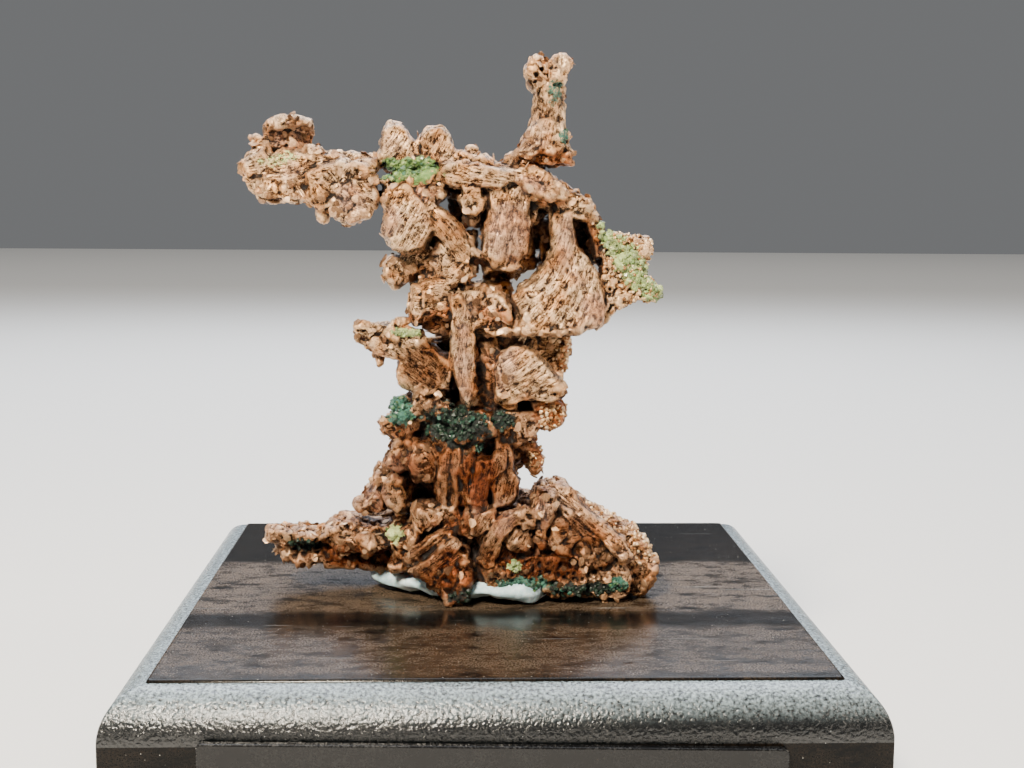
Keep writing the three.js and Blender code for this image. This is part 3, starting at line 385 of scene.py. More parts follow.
PLEATS = (
    Pleats(Patch(8.2, 56, 6.4, 8.6, y=-4), fan_from=(8.2, 68.5), depth=0.09, width=0.8),
    Pleats(Patch(4.6, 45.8, 4.4, 3.6, y=-5, half_y=4), heading=33, depth=0.1, width=0.7),
    Pleats(Patch(4.2, 41.6, 4.2, 1.6, y=-5, half_y=4), heading=20, depth=0.07, width=0.7),
    Pleats(Patch(-3.4, 48, 1.7, 7.6, y=-5, half_y=4), heading=84, depth=0.05, width=0.6),
    Pleats(Patch(1.6, 62, 3.6, 5.4, y=-3, half_y=4), heading=78, depth=0.07, width=0.65),
    Pleats(Patch(11.4, 28.4, 6.6, 1.9, y=-6, half_y=5, turn=-38), heading=-38, depth=0.17, width=0.85),
    Pleats(Patch(-4, 33, 3.4, 4.4, y=-6, half_y=4), heading=88, depth=0.12, width=0.8),
    Pleats(Patch(1, 33, 2.6, 4.6, y=-6, half_y=4), heading=80, depth=0.08, width=0.7),
    Pleats(Patch(-9.6, 62.4, 3.4, 4.6, y=-3, half_y=5), heading=60, depth=0.07, width=0.7),
    Pleats(Patch(-5, 62, 2.4, 4.2, y=-4, half_y=5), heading=-52, depth=0.07, width=0.65),
    Pleats(Patch(-11, 71.4, 2.6, 3.2, y=0, half_y=5), heading=58, depth=0.08, width=0.7),
    Pleats(Patch(-6.4, 71.4, 2.4, 2.6, y=0, half_y=5), heading=64, depth=0.08, width=0.7),
    Pleats(Patch(-1.4, 67.8, 5.2, 1.6, y=-2, half_y=5), heading=-8, depth=0.07, width=0.6),
    Pleats(Patch(6, 74, 2.8, 5, y=0, half_y=5), heading=82, depth=0.07, width=0.65),
    Pleats(Patch(-23, 68.6, 6, 2, y=-2, half_y=5), heading=8, depth=0.06, width=0.6),
    Pleats(Patch(-9.6, 46, 4.4, 3.4, y=-3, half_y=4), heading=-40, depth=0.03, width=0.7),
    Pleats(Patch(-6, 25.6, 4.2, 2.4, y=-8, half_y=4, turn=38), heading=38, depth=0.09, width=0.7),
    Pleats(Patch(1, 27, 3, 3.6, y=-8, half_y=4, turn=60), heading=58, depth=0.07, width=0.7),
)

# copper roughened into grains
GRANULAR = (
    Patch(16.6, 24.4, 3.6, 4.6, y=-3, half_y=6),
    Patch(13.6, 27.6, 3.4, 1.5, y=-1, half_y=5, turn=-38),
    Patch(6.4, 40.4, 2.4, 2.0, y=-3, half_y=5),
    Patch(8.6, 47.4, 1.6, 4.6, y=-1, half_y=5),
    Patch(16.4, 57, 4.4, 5.4, y=-1, half_y=5),
    Patch(5, 35.4, 1.4, 2.4, y=-2, half_y=4),
)

# eaten into small pits
PITTED = (
    Patch(16.6, 57, 5, 6, y=-1, half_y=5),
    Patch(6.2, 79.6, 3.2, 2.6, y=-1, half_y=4),
    Patch(-6.4, 40, 7.4, 3.4, y=-3, half_y=6),
    Patch(8, 21.8, 9.6, 3.2, y=-6, half_y=6),
    Patch(-22, 24.6, 5, 2.6, y=-1, half_y=6),
    Patch(-25, 71.4, 3.4, 3.2, y=0, half_y=4),
)

# pale lilac on these facets: a painted sheen
LILAC = (
    Patch(-23.6, 71.8, 3.2, 1.9, y=1, half_y=3),
    Patch(1.4, 46, 1.6, 3, y=-5, half_y=3),
    Patch(1.8, 61.4, 2.8, 4.4, y=-3, half_y=4),
    Patch(-3.4, 46, 1.2, 6.4, y=-5, half_y=3),
    Patch(8.4, 60.6, 1.3, 3.4, y=-3, half_y=4),
    Patch(11.6, 52.6, 1.9, 2.2, y=-5, half_y=4),
    Patch(-10.2, 34.6, 2.4, 2.4, y=-4, half_y=4),
    Patch(-1.6, 31.4, 1.2, 2.6, y=-7, half_y=3),
    Patch(5.6, 30.2, 1.1, 2.4, y=-7, half_y=4),
    Patch(-13.4, 30.4, 1.9, 2.2, y=-3, half_y=4),
    Patch(-7.6, 65.6, 1.9, 1.5, y=-2, half_y=4),
    Patch(-11.4, 62.4, 1.5, 2, y=-3, half_y=4),
    Patch(-16.4, 65, 1.9, 2.4, y=-4, half_y=4),
    Patch(1.2, 29.4, 1.3, 2.4, y=-8, half_y=3),
    Patch(4.4, 66.8, 2, 1.2, y=-3, half_y=3),
)

# painted bounce light: clean metal painted orange where light bounces in it
PAINTED_BOUNCE = (
    Patch(-1, 45, 2.2, 5.6, y=-3, half_y=4),
    Patch(11, 60.6, 2.2, 3, y=0, half_y=5),
    Patch(-6.6, 51.6, 2.8, 1.6, y=-4, half_y=4),
    Patch(6.6, 69.6, 3.6, 1.3, y=-1, half_y=4),
    Patch(9, 46, 1.6, 5, y=-1, half_y=5),
    Patch(6.8, 40.6, 2.4, 2.2, y=-3, half_y=4),
    Patch(5, 35.6, 1.8, 2.6, y=-2, half_y=4),
    Patch(-4.4, 22.6, 3, 3.6, y=-8, half_y=4),
    Patch(-1.6, 33.6, 2.4, 4.6, y=-6, half_y=4),
    Patch(5, 24, 6.4, 1.9, y=-8, half_y=4),
    Patch(-15.6, 23.6, 6, 1.6, y=-2, half_y=6),
    Patch(0, 52, 2.4, 1.2, y=-5, half_y=4),
    Patch(-3.6, 28.4, 1.6, 1.8, y=-6, half_y=4),
    Patch(6.6, 64.8, 1.9, 0.9, y=-3, half_y=3),
)

# brown tarnish
BROWN = (
    Patch(10, 26.8, 4, 2.8, y=-7, half_y=4, turn=-38),
    Patch(-8, 46, 3.8, 3, y=-3, half_y=5),
    Patch(-4, 36, 9, 7, y=-2, half_y=12),
    Patch(2, 23, 16, 4.4, y=0, half_y=14),
    Patch(-14, 23.4, 9, 2, y=1, half_y=8),
    Patch(-6.6, 22.8, 3.4, 4, y=-8, half_y=4),
    Patch(0, 28, 10, 5, y=7, half_y=6),
)


class Green(Enum):
    """The copper salts' colours, from pale crust to dark crystals."""

    PALE = 0.0
    GRASS = 0.36
    TEAL = 0.68
    DARK = 1.0


@dataclass(frozen=True)
class Crust:
    """A patch of green copper salts and the grains that stand on it."""

    patch: Patch
    green: Green
    grains: int = 0
    grain_size: float = 0.3
    strength: float = 1.0


CRUSTS = (
    Crust(Patch(-9.4, 68.3, 3.8, 1.5, y=-2.5, half_y=3), Green.GRASS, 230, 0.3),
    Crust(Patch(-12.1, 69.2, 0.8, 0.8, y=-2, half_y=3), Green.GRASS, 26, 0.34),
    Crust(Patch(16.2, 57.4, 1.7, 5.6, y=-2, half_y=3.2, turn=36), Green.PALE, 380, 0.3),
    Crust(Patch(-10, 50, 2.1, 0.5, y=-5, half_y=2, turn=-2), Green.PALE, 60, 0.2),
    Crust(Patch(-11, 41, 1.7, 2.1, y=-4, half_y=4, turn=40), Green.TEAL, 90, 0.3),
    Crust(Patch(-4, 39.4, 4.2, 2.4, y=-5, half_y=4), Green.DARK, 190, 0.32),
    Crust(Patch(1.2, 39.9, 1.6, 1.2, y=-5, half_y=3), Green.DARK, 40, 0.28),
    Crust(Patch(-1.2, 36.7, 0.8, 0.7, y=-6, half_y=2), Green.TEAL, 14, 0.25),
    Crust(Patch(-22, 24.6, 1.7, 1.1, y=-3, half_y=4), Green.DARK, 70, 0.3),
    Crust(Patch(-11.4, 26.8, 1.2, 1.3, y=-6, half_y=3, turn=40), Green.PALE, 10, 0.22, 0.8),
    Crust(Patch(2.6, 23.6, 0.9, 0.6, y=-8, half_y=3), Green.PALE, 22, 0.26),
    Crust(Patch(3.6, 21.4, 3.6, 1.1, y=-8, half_y=4), Green.TEAL, 110, 0.3, 0.8),
    Crust(Patch(10.6, 20.8, 5, 0.9, y=-7, half_y=4), Green.DARK, 150, 0.3, 0.9),
    Crust(Patch(-3, 20.4, 2.4, 1, y=-8, half_y=4), Green.DARK, 50, 0.3, 0.8),
    Crust(Patch(14.2, 21.4, 1.3, 0.9, y=-7, half_y=4), Green.TEAL, 26, 0.28),
    Crust(Patch(7, 77.6, 1, 1.6, y=-1.4, half_y=2.4), Green.TEAL, 10, 0.2, 0.55),
    Crust(Patch(8, 72.4, 0.6, 0.9, y=-1.4, half_y=3), Green.TEAL, 6, 0.2, 0.7),
    Crust(Patch(-24.6, 69.4, 2.6, 0.9, y=-2, half_y=3, turn=10), Green.PALE, 0, 0.2, 0.4),
    Crust(Patch(-8, 58, 5, 7, y=5, half_y=3.4), Green.TEAL, 120, 0.28, 0.5),
    Crust(Patch(6, 26, 6, 3.4, y=8, half_y=3.4), Green.DARK, 150, 0.3, 0.8),
    Crust(Patch(3, 47, 3, 3, y=8, half_y=3), Green.GRASS, 110, 0.28, 0.7),
)


# ---- the copper ----

@dataclass(frozen=True)
class Relief:
    """One layer of the copper's folds or facets, sized in millimetres."""

    seed: int
    pattern: Callable[[Lattice, np.ndarray, float], np.ndarray]
    width: float
    height: float
    calmed: float

    def over(self, points: np.ndarray, pleated: np.ndarray) -> np.ndarray:
        """Gives the layer's height.

        Args:
            points: The places, in millimetres.
            pleated: How far each point is inside a pleated patch, which calms the layer.

        Returns:
            The height at each point, in millimetres.
        """
        pattern = self.pattern(Lattice(self.seed), points, self.width)
        return self.height * pattern * (1 - self.calmed * pleated)


RELIEF = (
    Relief(11, Lattice.facets, 2.9, 0.3, 0.75),
    Relief(11, Lattice.crumpled, 2.9, 0.24, 0.75),
    Relief(23, Lattice.crumpled, 1.5, 0.13, 0.4),
    Relief(23, Lattice.facets, 1.4, 0.08, 0.75),
    Relief(37, Lattice.crumpled, 0.7, 0.03, 0.0),
)


@dataclass
class CopperSkin:
    """All the copper limbs as one crumpled skin, then parted again at the forks.

    Sizes are in millimetres: voxel is the width of the skin's finest facets, and weld is how far
    the limbs swell so that they meet.
    """

    nodes: list[str]
    voxel: float = 0.18
    weld: float = 0.18
    swell: float = 0.1
    grain_width: float = 0.62
    grain_rise: float = 0.16
    grain_fall: float = 0.34
    pit_widths: tuple[float, ...] = (1.15, 0.7)
    pit_seeds: tuple[int, ...] = (5, 8)
    pit_depth: float = 0.5
    clearance: float = 0.03
    fine_rounds: int = 5
    fine_crease: float = 0.055
    wide_rounds: int = 40
    wide_crease: float = 0.3
    vote_rounds: int = 12

    def __post_init__(self) -> None:
        """Welds, crumples and measures the skin."""
        self.limb_tree, self.limb_of = self._limb_tree()
        self.mesh = self._welded()
        self.edges = self._numbers(self.mesh.edges, "vertices", 2)
        self.points = self._numbers(self.mesh.vertices, "co", 3, np.float32) / MM
        self._relieve()
        self._measure()

    @staticmethod
    def _numbers(items: bpy.types.bpy_prop_collection, name: str, width: int,
                 kind: type = np.int32) -> np.ndarray:
        """Reads one property of every item into rows.

        Args:
            items: The mesh's vertices, edges, loops or faces.
            name: The property.
            width: How many numbers each item holds.
            kind: The numbers' type.

        Returns:
            A row for each item.
        """
        values = np.empty(len(items) * width, kind)
        items.foreach_get(name, values)
        return values.reshape(-1, width)

    def _limb_tree(self) -> tuple[BVHTree, np.ndarray]:
        """Builds one search tree of every limb's facets and notes which limb each facet is on.

        Returns:
            The tree, and the number of the limb that each facet is on.
        """
        corners: list[Vector] = []
        facets: list[tuple[int, ...]] = []
        owner: list[int] = []
        for number, node in enumerate(self.nodes):
            mesh = frame["nodes"][node].data
            start = len(corners)
            corners.extend(vertex.co / MM for vertex in mesh.vertices)
            for polygon in mesh.polygons:
                facets.append(tuple(start + at for at in polygon.vertices))
                owner.append(number)
        return BVHTree.FromPolygons(corners, facets), np.array(owner)

    def _welded(self) -> bpy.types.Mesh:
        """Swells a copy of each limb until they meet, and remeshes them as one.

        Returns:
            One closed skin, in metres.
        """
        bm = bmesh.new()
        for node in self.nodes:
            limb = bmesh.new()
            limb.from_mesh(frame["nodes"][node].data)
            bmesh.ops.remove_doubles(limb, verts=limb.verts, dist=1e-6)
            limb.normal_update()
            for vertex in limb.verts:
                vertex.co += vertex.normal * (self.weld * MM)
            copy = bpy.data.meshes.new("limb")
            limb.to_mesh(copy)
            limb.free()
            bm.from_mesh(copy)
            bpy.data.meshes.remove(copy)
        mesh = bpy.data.meshes.new("welded")
        bm.to_mesh(mesh)
        bm.free()
        return remeshed(mesh, self.voxel)

    def _averaged(self, values: np.ndarray, rounds: int) -> np.ndarray:
        """Evens values out over the skin.

        Args:
            values: A number or a row for each point.
            rounds: How many times each point takes the mean of its neighbours.

        Returns:
            The evened values.
        """
        flat = values.reshape(len(values), -1).astype(np.float64)
        first, second = self.edges[:, 0], self.edges[:, 1]
        count = len(flat)
        links = np.bincount(first, minlength=count) + np.bincount(second, minlength=count)
        links = np.maximum(links, 1)
        for _ in range(rounds):
            columns = []
            for column in flat.T:
                total = np.bincount(first, weights=column[second], minlength=count)
                total += np.bincount(second, weights=column[first], minlength=count)
                columns.append(0.5 * column + 0.5 * total / links)
            flat = np.stack(columns, axis=1)
        return flat.reshape(values.shape).astype(np.float32)

    def _normals(self) -> np.ndarray:
        """Writes the points back to the mesh and reads its normals.

        Returns:
            The way out of the skin at each point.
        """
        self.mesh.vertices.foreach_set("co", (self.points * MM).ravel())
        self.mesh.update()
        return self._numbers(self.mesh.vertex_normals, "vector", 3, np.float32)

    def _relieve(self) -> None:
        """Crumples the skin: large folds, small facets, pleats, grains and pits."""
        self.points = self._averaged(self.points, 2)
        normals = self._normals()
        p = self.points
        rough = Lattice(11).layered(p, 3.0, 3)
        self.ragged = 0.35 * rough
        self.granular = np.clip(sum(patch.cover(p, self.ragged) for patch in GRANULAR), 0, 1)
        self.pitted = np.clip(sum(patch.cover(p, self.ragged) for patch in PITTED), 0, 1)
        self.grain, pleat, self.pleated = self._pleat_all()
        height = self.swell * rough + pleat
        for layer in RELIEF:
            height += layer.over(p, self.pleated)
        near, *_ = Lattice(37).cells(p, self.grain_width)
        height += self.granular * (self.grain_rise - self.grain_fall * near ** 2)
        self.pits = np.zeros(len(p), np.float32)
        for width, seed in zip(self.pit_widths, self.pit_seeds):
            table = Lattice(seed)
            near, entry, _ = table.cells(p, width)
            chosen = table.level[entry] > 0.1
            self.pits += chosen * (1 - eased(0.12, 0.44, near)) * self.pitted
        height -= self.pit_depth * np.clip(self.pits, 0, 1)
        self.points = p + normals * height[:, None]
        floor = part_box("display_base")[1].z / MM + self.clearance
        self.points[:, 2] = np.maximum(self.points[:, 2], floor)
        self.normals = self._normals()

    def _pleat_all(self) -> tuple[np.ndarray, np.ndarray, np.ndarray]:
        """Lays the pleats' coordinates over the skin.

        Returns:
            The coordinates along which the finest lines run, the pleats' height in millimetres,
            and how far each point is inside a pleated patch.
        """
        p = self.points
        table = Lattice(51)
        _, entry, _ = table.cells(p + 0.8 * self.ragged[:, None], 2.6)
        lean = table.leans[entry]
        side = np.cross(lean, np.array([0.31, 0.52, 0.8], np.float32))
        side /= np.linalg.norm(side, axis=1)[:, None]
        grain = np.stack([np.einsum("ij,ij->i", p, lean), 0.24 * np.einsum("ij,ij->i", p, side),
                          0.1 * p[:, 1] + entry], axis=1).astype(np.float32)
        height = np.zeros(len(p), np.float32)
        best = np.full(len(p), 0.35, np.float32)
        strongest = np.zeros(len(p), np.float32)
        for number, pleats in enumerate(PLEATS):
            cover = pleats.patch.cover(p, 0.5 * self.ragged)
            won = cover > best
            rows = pleats.coordinates(p[won]).astype(np.float32)
            grain[won] = rows * (1, 0.16, 0.16) + (0, 0, 7.3 * number)
            bent = rows.copy()
            bent[:, 0] += 0.3 * table.smooth(rows + 40, (3, 6, 6))
            ridge = 1 - 2 * np.abs(table.smooth(bent, (pleats.width, pleats.width * 7, 4)))
            height[won] = 0.5 * pleats.depth * ridge
            strongest = np.maximum(strongest, cover)
            best = np.maximum(best, cover)
        return grain, height * eased(0.35, 0.7, strongest), strongest

    def _measure(self) -> None:
        """Measures creases and how open each place is, and lays the lilac tint, tarnish, the painted
        orange bounce light and the salts.
        """
        p = self.points
        fine = np.einsum("ij,ij->i", p - self._averaged(p, self.fine_rounds), self.normals)
        wide = np.einsum("ij,ij->i", p - self._averaged(p, self.wide_rounds), self.normals)
        self.crease = (0.6 * np.clip(-fine / self.fine_crease, -1, 1)
                       + 0.4 * np.clip(-wide / self.wide_crease, -1, 1))
        self.open = self._openness()
        ragged = 0.3 * Lattice(71).layered(p, 2.2, 4, 0.6)
        # a random lilac tone of the copper's own; the LILAC patches add a painted sheen
        lilac_tint = 0.6 * eased(0.25, 0.7, Lattice(72).layered(p, 4.5, 3))
        tarnish = 0.7 * eased(0.2, 0.75, Lattice(73).layered(p, 3.4, 4))
        self.lilac = np.maximum(self._cover(LILAC, ragged), lilac_tint)
        # patches of painted orange bounce light
        self.ember = self._cover(PAINTED_BOUNCE, ragged)
        self.brown = np.maximum(self._cover(BROWN, ragged), tarnish)
        self.green = np.zeros(len(p), np.float32)
        self.shade = np.zeros(len(p), np.float32)
        speck = Lattice(74).layered(p, 0.9, 3, 0.6)
        for crust in CRUSTS:
            cover = crust.patch.cover(p, 0.45 * speck) * crust.strength
            taken = cover > self.green
            self.green[taken] = cover[taken]
            self.shade[taken] = crust.green.value

    def _cover(self, patches: tuple[Patch, ...], ragged: np.ndarray) -> np.ndarray:
        """Gives the strongest cover of several patches.

        Args:
            patches: The patches.
            ragged: What to add to each point's distance.

        Returns:
            0 outside every patch to 1 well inside one.
        """
        cover = np.zeros(len(self.points), np.float32)
        for patch in patches:
            cover = np.maximum(cover, patch.cover(self.points, ragged))
        return cover

    def _openness(self, block: float = 0.9, rays: int = 14, reach: float = 7.0,
                  lift: float = 0.45) -> np.ndarray:
        """Looks out from the skin to see how shut in each place is.

        Args:
            block: The width of the blocks that share one look, in millimetres.
            rays: How many ways to look from each.
            reach: How far to look, in millimetres.
            lift: How far off the skin each look starts, in millimetres.

        Returns:
            0 where a place sees only copper, to 1 where it sees none.
        """
        keys = np.floor(self.points / block).astype(np.int64) * 4
        keys += np.round(self.normals).astype(np.int64)
        _, chosen, share = np.unique(keys, axis=0, return_index=True, return_inverse=True)
        rng = np.random.default_rng(3)
        ways = rng.normal(size=(rays, 3))
        ways /= np.linalg.norm(ways, axis=1)[:, None]
        seen = np.zeros(len(chosen))
        for row, at in enumerate(chosen):
            normal = self.normals[at]
            start = Vector(self.points[at] + normal * lift)
            total = 0.0
            clear = 0.0
            for way in ways:
                facing = float(way @ normal)
                if facing < 0:
                    way, facing = -way, -facing
                total += facing
                hit = self.limb_tree.ray_cast(start, Vector(way), reach)
                clear += facing if hit[0] is None else facing * 0.8 * hit[3] / reach
            seen[row] = clear / total
        return self._averaged(seen[share.ravel()], 5)

    def paint(self) -> None:
        """Stores what the finish reads on the mesh."""
        looks = {"crease": self.crease, "openness": self.open, "lilac": self.lilac,
                 "ember": self.ember, "brown": self.brown, "green": self.green,
                 "shade": self.shade, "pits": np.clip(self.pits, 0, 1), "granular": self.granular}
        for name, values in looks.items():
            store = self.mesh.attributes.new(name, "FLOAT", "POINT")
            store.data.foreach_set("value", np.ascontiguousarray(values, np.float32))
        store = self.mesh.attributes.new("grain", "FLOAT_VECTOR", "POINT")
        store.data.foreach_set("vector", np.ascontiguousarray(self.grain, np.float32).ravel())

    def parted(self) -> dict[str, bpy.types.Mesh]:
        """Parts the skin at the forks.

        Returns:
            A closed mesh for each node that it stands for.
        """
        polygons = self.mesh.polygons
        centres = self._numbers(polygons, "center", 3, np.float32) / MM
        owner = np.zeros(len(polygons), np.int32)
        for at, centre in enumerate(centres):
            owner[at] = self.limb_of[self.limb_tree.find_nearest(Vector(centre))[2]]
        owner = self._calmed(owner)
        store = self.mesh.attributes.new("was_facing", "FLOAT_VECTOR", "POINT")
        store.data.foreach_set("vector", np.ascontiguousarray(self.normals, np.float32).ravel())
        holder = linked("holder", self.mesh)
        for node in self.nodes:
            self.mesh.materials.append(bpy.data.materials.new(node))
        polygons.foreach_set("material_index", owner)
        bpy.context.view_layer.objects.active = holder
        holder.select_set(True)
        before = set(bpy.data.objects) - {holder}
        bpy.ops.object.mode_set(mode="EDIT")
        bpy.ops.mesh.select_all(action="SELECT")
        bpy.ops.mesh.separate(type="MATERIAL")
        bpy.ops.object.mode_set(mode="OBJECT")
        parts = {}
        for cut in [item for item in bpy.data.objects if item not in before]:
            node = cut.data.materials[cut.data.polygons[0].material_index].name
            parts[node] = self._closed(cut.data)
            bpy.data.objects.remove(cut)
        for node in self.nodes:
            bpy.data.materials.remove(bpy.data.materials[node])
        return {node: parts[node] for node in self.nodes}

    def _calmed(self, owner: np.ndarray) -> np.ndarray:
        """Gives stray facets to the limb round them, by vote over shared corners.

        Args:
            owner: The number of each facet's limb.

        Returns:
            The number of each facet's limb after the vote.
        """
        corners = self._numbers(self.mesh.loops, "vertex_index", 1).ravel()
        starts = self._numbers(self.mesh.polygons, "loop_start", 1).ravel()
        counts = self._numbers(self.mesh.polygons, "loop_total", 1).ravel()
        face_of = np.repeat(np.arange(len(starts)), counts)
        limbs = len(self.nodes)
        for _ in range(self.vote_rounds):
            keys = corners.astype(np.int64) * limbs + owner[face_of]
            votes = np.bincount(keys, minlength=len(self.points) * limbs).reshape(-1, limbs)
            tally = np.add.reduceat(votes[corners], starts, axis=0)
            owner = tally.argmax(axis=1).astype(np.int32)
        return owner

    def _closed(self, mesh: bpy.types.Mesh) -> bpy.types.Mesh:
        """Closes the cut ends of one limb and keeps the whole skin's smooth shading over the cut.

        Args:
            mesh: The limb, open where it was cut.

        Returns:
            The same mesh, closed.
        """
        bm = bmesh.new()
        bm.from_mesh(mesh)
        rim = [edge for edge in bm.edges if edge.is_boundary]
        bmesh.ops.holes_fill(bm, edges=rim, sides=0)
        bm.to_mesh(mesh)
        bm.free()
        mesh.materials.clear()
        mesh.shade_smooth()
        facing = self._numbers(mesh.attributes["was_facing"].data, "vector", 3, np.float32)
        mesh.normals_split_custom_set_from_vertices(facing)
        mesh.attributes.remove(mesh.attributes["was_facing"])
        return mesh


def remeshed(mesh: bpy.types.Mesh, voxel: float) -> bpy.types.Mesh:
    """Gives a mesh's outer skin again in small even facets.

    Args:
        mesh: The closed shapes, which may overlap, in metres. It is removed.
        voxel: The width of a facet, in millimetres.

    Returns:
        The new mesh.
    """
    holder = linked("holder", mesh)
    even = holder.modifiers.new("even", "REMESH")
    even.mode = "VOXEL"
    even.voxel_size = voxel * MM
    seen = holder.evaluated_get(bpy.context.evaluated_depsgraph_get())
    result = bpy.data.meshes.new_from_object(seen)
    bpy.data.objects.remove(holder)
    bpy.data.meshes.remove(mesh)
    return result


# ---- grains ----

@dataclass
class Grains:
    """Small lumps scattered on the skin and joined in one mesh; the seed picks the scatter."""

    skin: CopperSkin
    seed: int
    kinds: int = 8
    least_cover: float = 0.35
    knobbly: tuple[float, float] = (0.72, 1.15)
    radii: tuple[float, float] = (0.5, 1.25)
    stretch: tuple[float, float] = (0.75, 1.25)
    tip: float = 0.6

    def __post_init__(self) -> None:
        """Shapes the lumps that are scattered."""
        self.rng = np.random.default_rng(self.seed)
        self.bm = bmesh.new()
        self.lumps = [self._lump(number) for number in range(self.kinds)]
        self.tints: list[float] = []
        self.shades: list[float] = []
        self.opens: list[float] = []

    def _lump(self, number: int) -> bpy.types.Mesh:
        """Makes one knobbly lump of radius 1.

        Args:
            number: Which lump it is.

        Returns:
            The lump.
        """
        bm = bmesh.new()
        bmesh.ops.create_icosphere(bm, subdivisions=1, radius=1.0)
        for vertex in bm.verts:
            vertex.co *= self.rng.uniform(*self.knobbly)
        mesh = bpy.data.meshes.new(f"lump_{number}")
        bm.to_mesh(mesh)
        bm.free()
        return mesh

    def scatter(self, cover: np.ndarray, count: int, size: float, shade: float = 0.0,
                sunk: float = 0.1, flat: float = 1.0) -> None:
        """Adds lumps where a patch covers the skin.

        Args:
            cover: How far each point of the skin is inside the patch.
            count: How many lumps.
            size: A lump's middling radius, in millimetres.
            shade: Which green it is, if it is a green.
            sunk: How deep it sits, as a share of its radius.
            flat: Its thickness beside its width; under 1 it is a leaf that lies on the skin.
        """
        weight = np.where(cover > self.least_cover, cover, 0) ** 2
        if count == 0 or weight.sum() == 0:
            return
        chosen = self.rng.choice(len(weight), size=count, p=weight / weight.sum())
        for at in chosen:
            radius = size * self.rng.uniform(*self.radii)
            normal = self.skin.normals[at]
            place = self.skin.points[at] + normal * radius * (0.35 - sunk)
            turn = Euler(self.rng.uniform(0, math.tau, 3)).to_matrix().to_4x4()
            if flat < 1:
                lie = Vector((0, 0, 1)).rotation_difference(Vector(normal)).to_matrix().to_4x4()
                tipped = self.rng.uniform(-self.tip, self.tip, 2)
                tip = Euler((*tipped, self.rng.uniform(0, math.tau)), "ZYX")
                turn = lie @ tip.to_matrix().to_4x4()
            widths = radius * self.rng.uniform(*self.stretch, 2)
            thickness = radius * flat * self.rng.uniform(*self.stretch)
            stretch = Matrix.Diagonal((*widths, thickness, 1.0))
            lump = self.lumps[self.rng.integers(self.kinds)].copy()
            lump.transform(Matrix.Translation(place) @ turn @ stretch)
            self.bm.from_mesh(lump)
            bpy.data.meshes.remove(lump)
            worn = 0.5 * float(self.skin.brown[at]) if flat < 1 else 0.0
            self.tints.append(max(0.0, float(self.rng.uniform(0.1, 1.0)) - worn))
            self.shades.append(float(np.clip(shade + self.rng.normal(0, 0.12), 0, 1)))
            self.opens.append(float(self.skin.open[at]))

    def finished(self, name: str, slot: Slot, smooth: bool) -> bpy.types.Object:
        """Joins the lumps as one piece.

        Args:
            name: The piece's name.
            slot: The record's material slot.
            smooth: Whether the lumps look round rather than cut.

        Returns:
            The piece's object.
        """
        piece = place_piece(self.bm, name, slot)
        corners = len(self.lumps[0].vertices)
        for label, values in (("tint", self.tints), ("shade", self.shades), ("openness", self.opens)):
            store = piece.data.attributes.new(label, "FLOAT", "POINT")
            store.data.foreach_set("value", np.repeat(np.array(values, np.float32), corners))
        if smooth:
            piece.data.shade_smooth()
        for lump in self.lumps:
            bpy.data.meshes.remove(lump)
        return piece


# ---- tack, base and plate ----

@dataclass
class MineralTack:
    """The pressed pad of tack that holds the specimen up."""

    node: str = "mineral_tack"
    voxel: float = 0.22
    soften_rounds: int = 6
    swell_width: float = 3.4
    dent_width: float = 5.0
    press_depth: float = 0.28
    crumple_width: float = 0.7
    crumple_depth: float = 0.03

    def build(self, groups: "SharedGroups") -> None:
        """Softens a copy of the pad, presses finger marks into it and dresses it.

        Args:
            groups: The shared node groups.
        """
        bm = bmesh.new()
        bm.from_mesh(frame["nodes"][self.node].data)
        bmesh.ops.remove_doubles(bm, verts=bm.verts, dist=1e-6)
        bmesh.ops.subdivide_edges(bm, edges=bm.edges, cuts=2, use_grid_fill=True, smooth=0.9)
        bmesh.ops.triangulate(bm, faces=bm.faces)
        rough = bpy.data.meshes.new("pad")
        bm.to_mesh(rough)
        bm.free()
        mesh = remeshed(rough, self.voxel)
        bm = bmesh.new()
        bm.from_mesh(mesh)
        bpy.data.meshes.remove(mesh)
        bmesh.ops.scale(bm, vec=(1 / MM, 1 / MM, 1 / MM), verts=bm.verts)
        for _ in range(self.soften_rounds):
            bmesh.ops.smooth_vert(bm, verts=bm.verts, factor=0.5, use_axis_x=True, use_axis_y=True,
                                  use_axis_z=True)
        bm.normal_update()
        points = np.array([vertex.co for vertex in bm.verts])
        marks = Lattice(91)
        dents = eased(0, 0.25, 0.25 - np.abs(marks.smooth(points + 60, self.dent_width)))
        press = self.press_depth * (marks.layered(points, self.swell_width, 2) - 0.5 * dents)
        press += self.crumple_depth * marks.layered(points, self.crumple_width, 2)
        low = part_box(self.node)[0].z / MM
        for vertex, push in zip(bm.verts, press):
            vertex.co += vertex.normal * float(push)
            vertex.co.z = max(vertex.co.z, low)
        for face in bm.faces:
            face.smooth = True
        pad = place_piece(bm, "pressed_tack", Slot.TACK, self.node)
        pad.data.materials.append(TackFinish().build(groups))


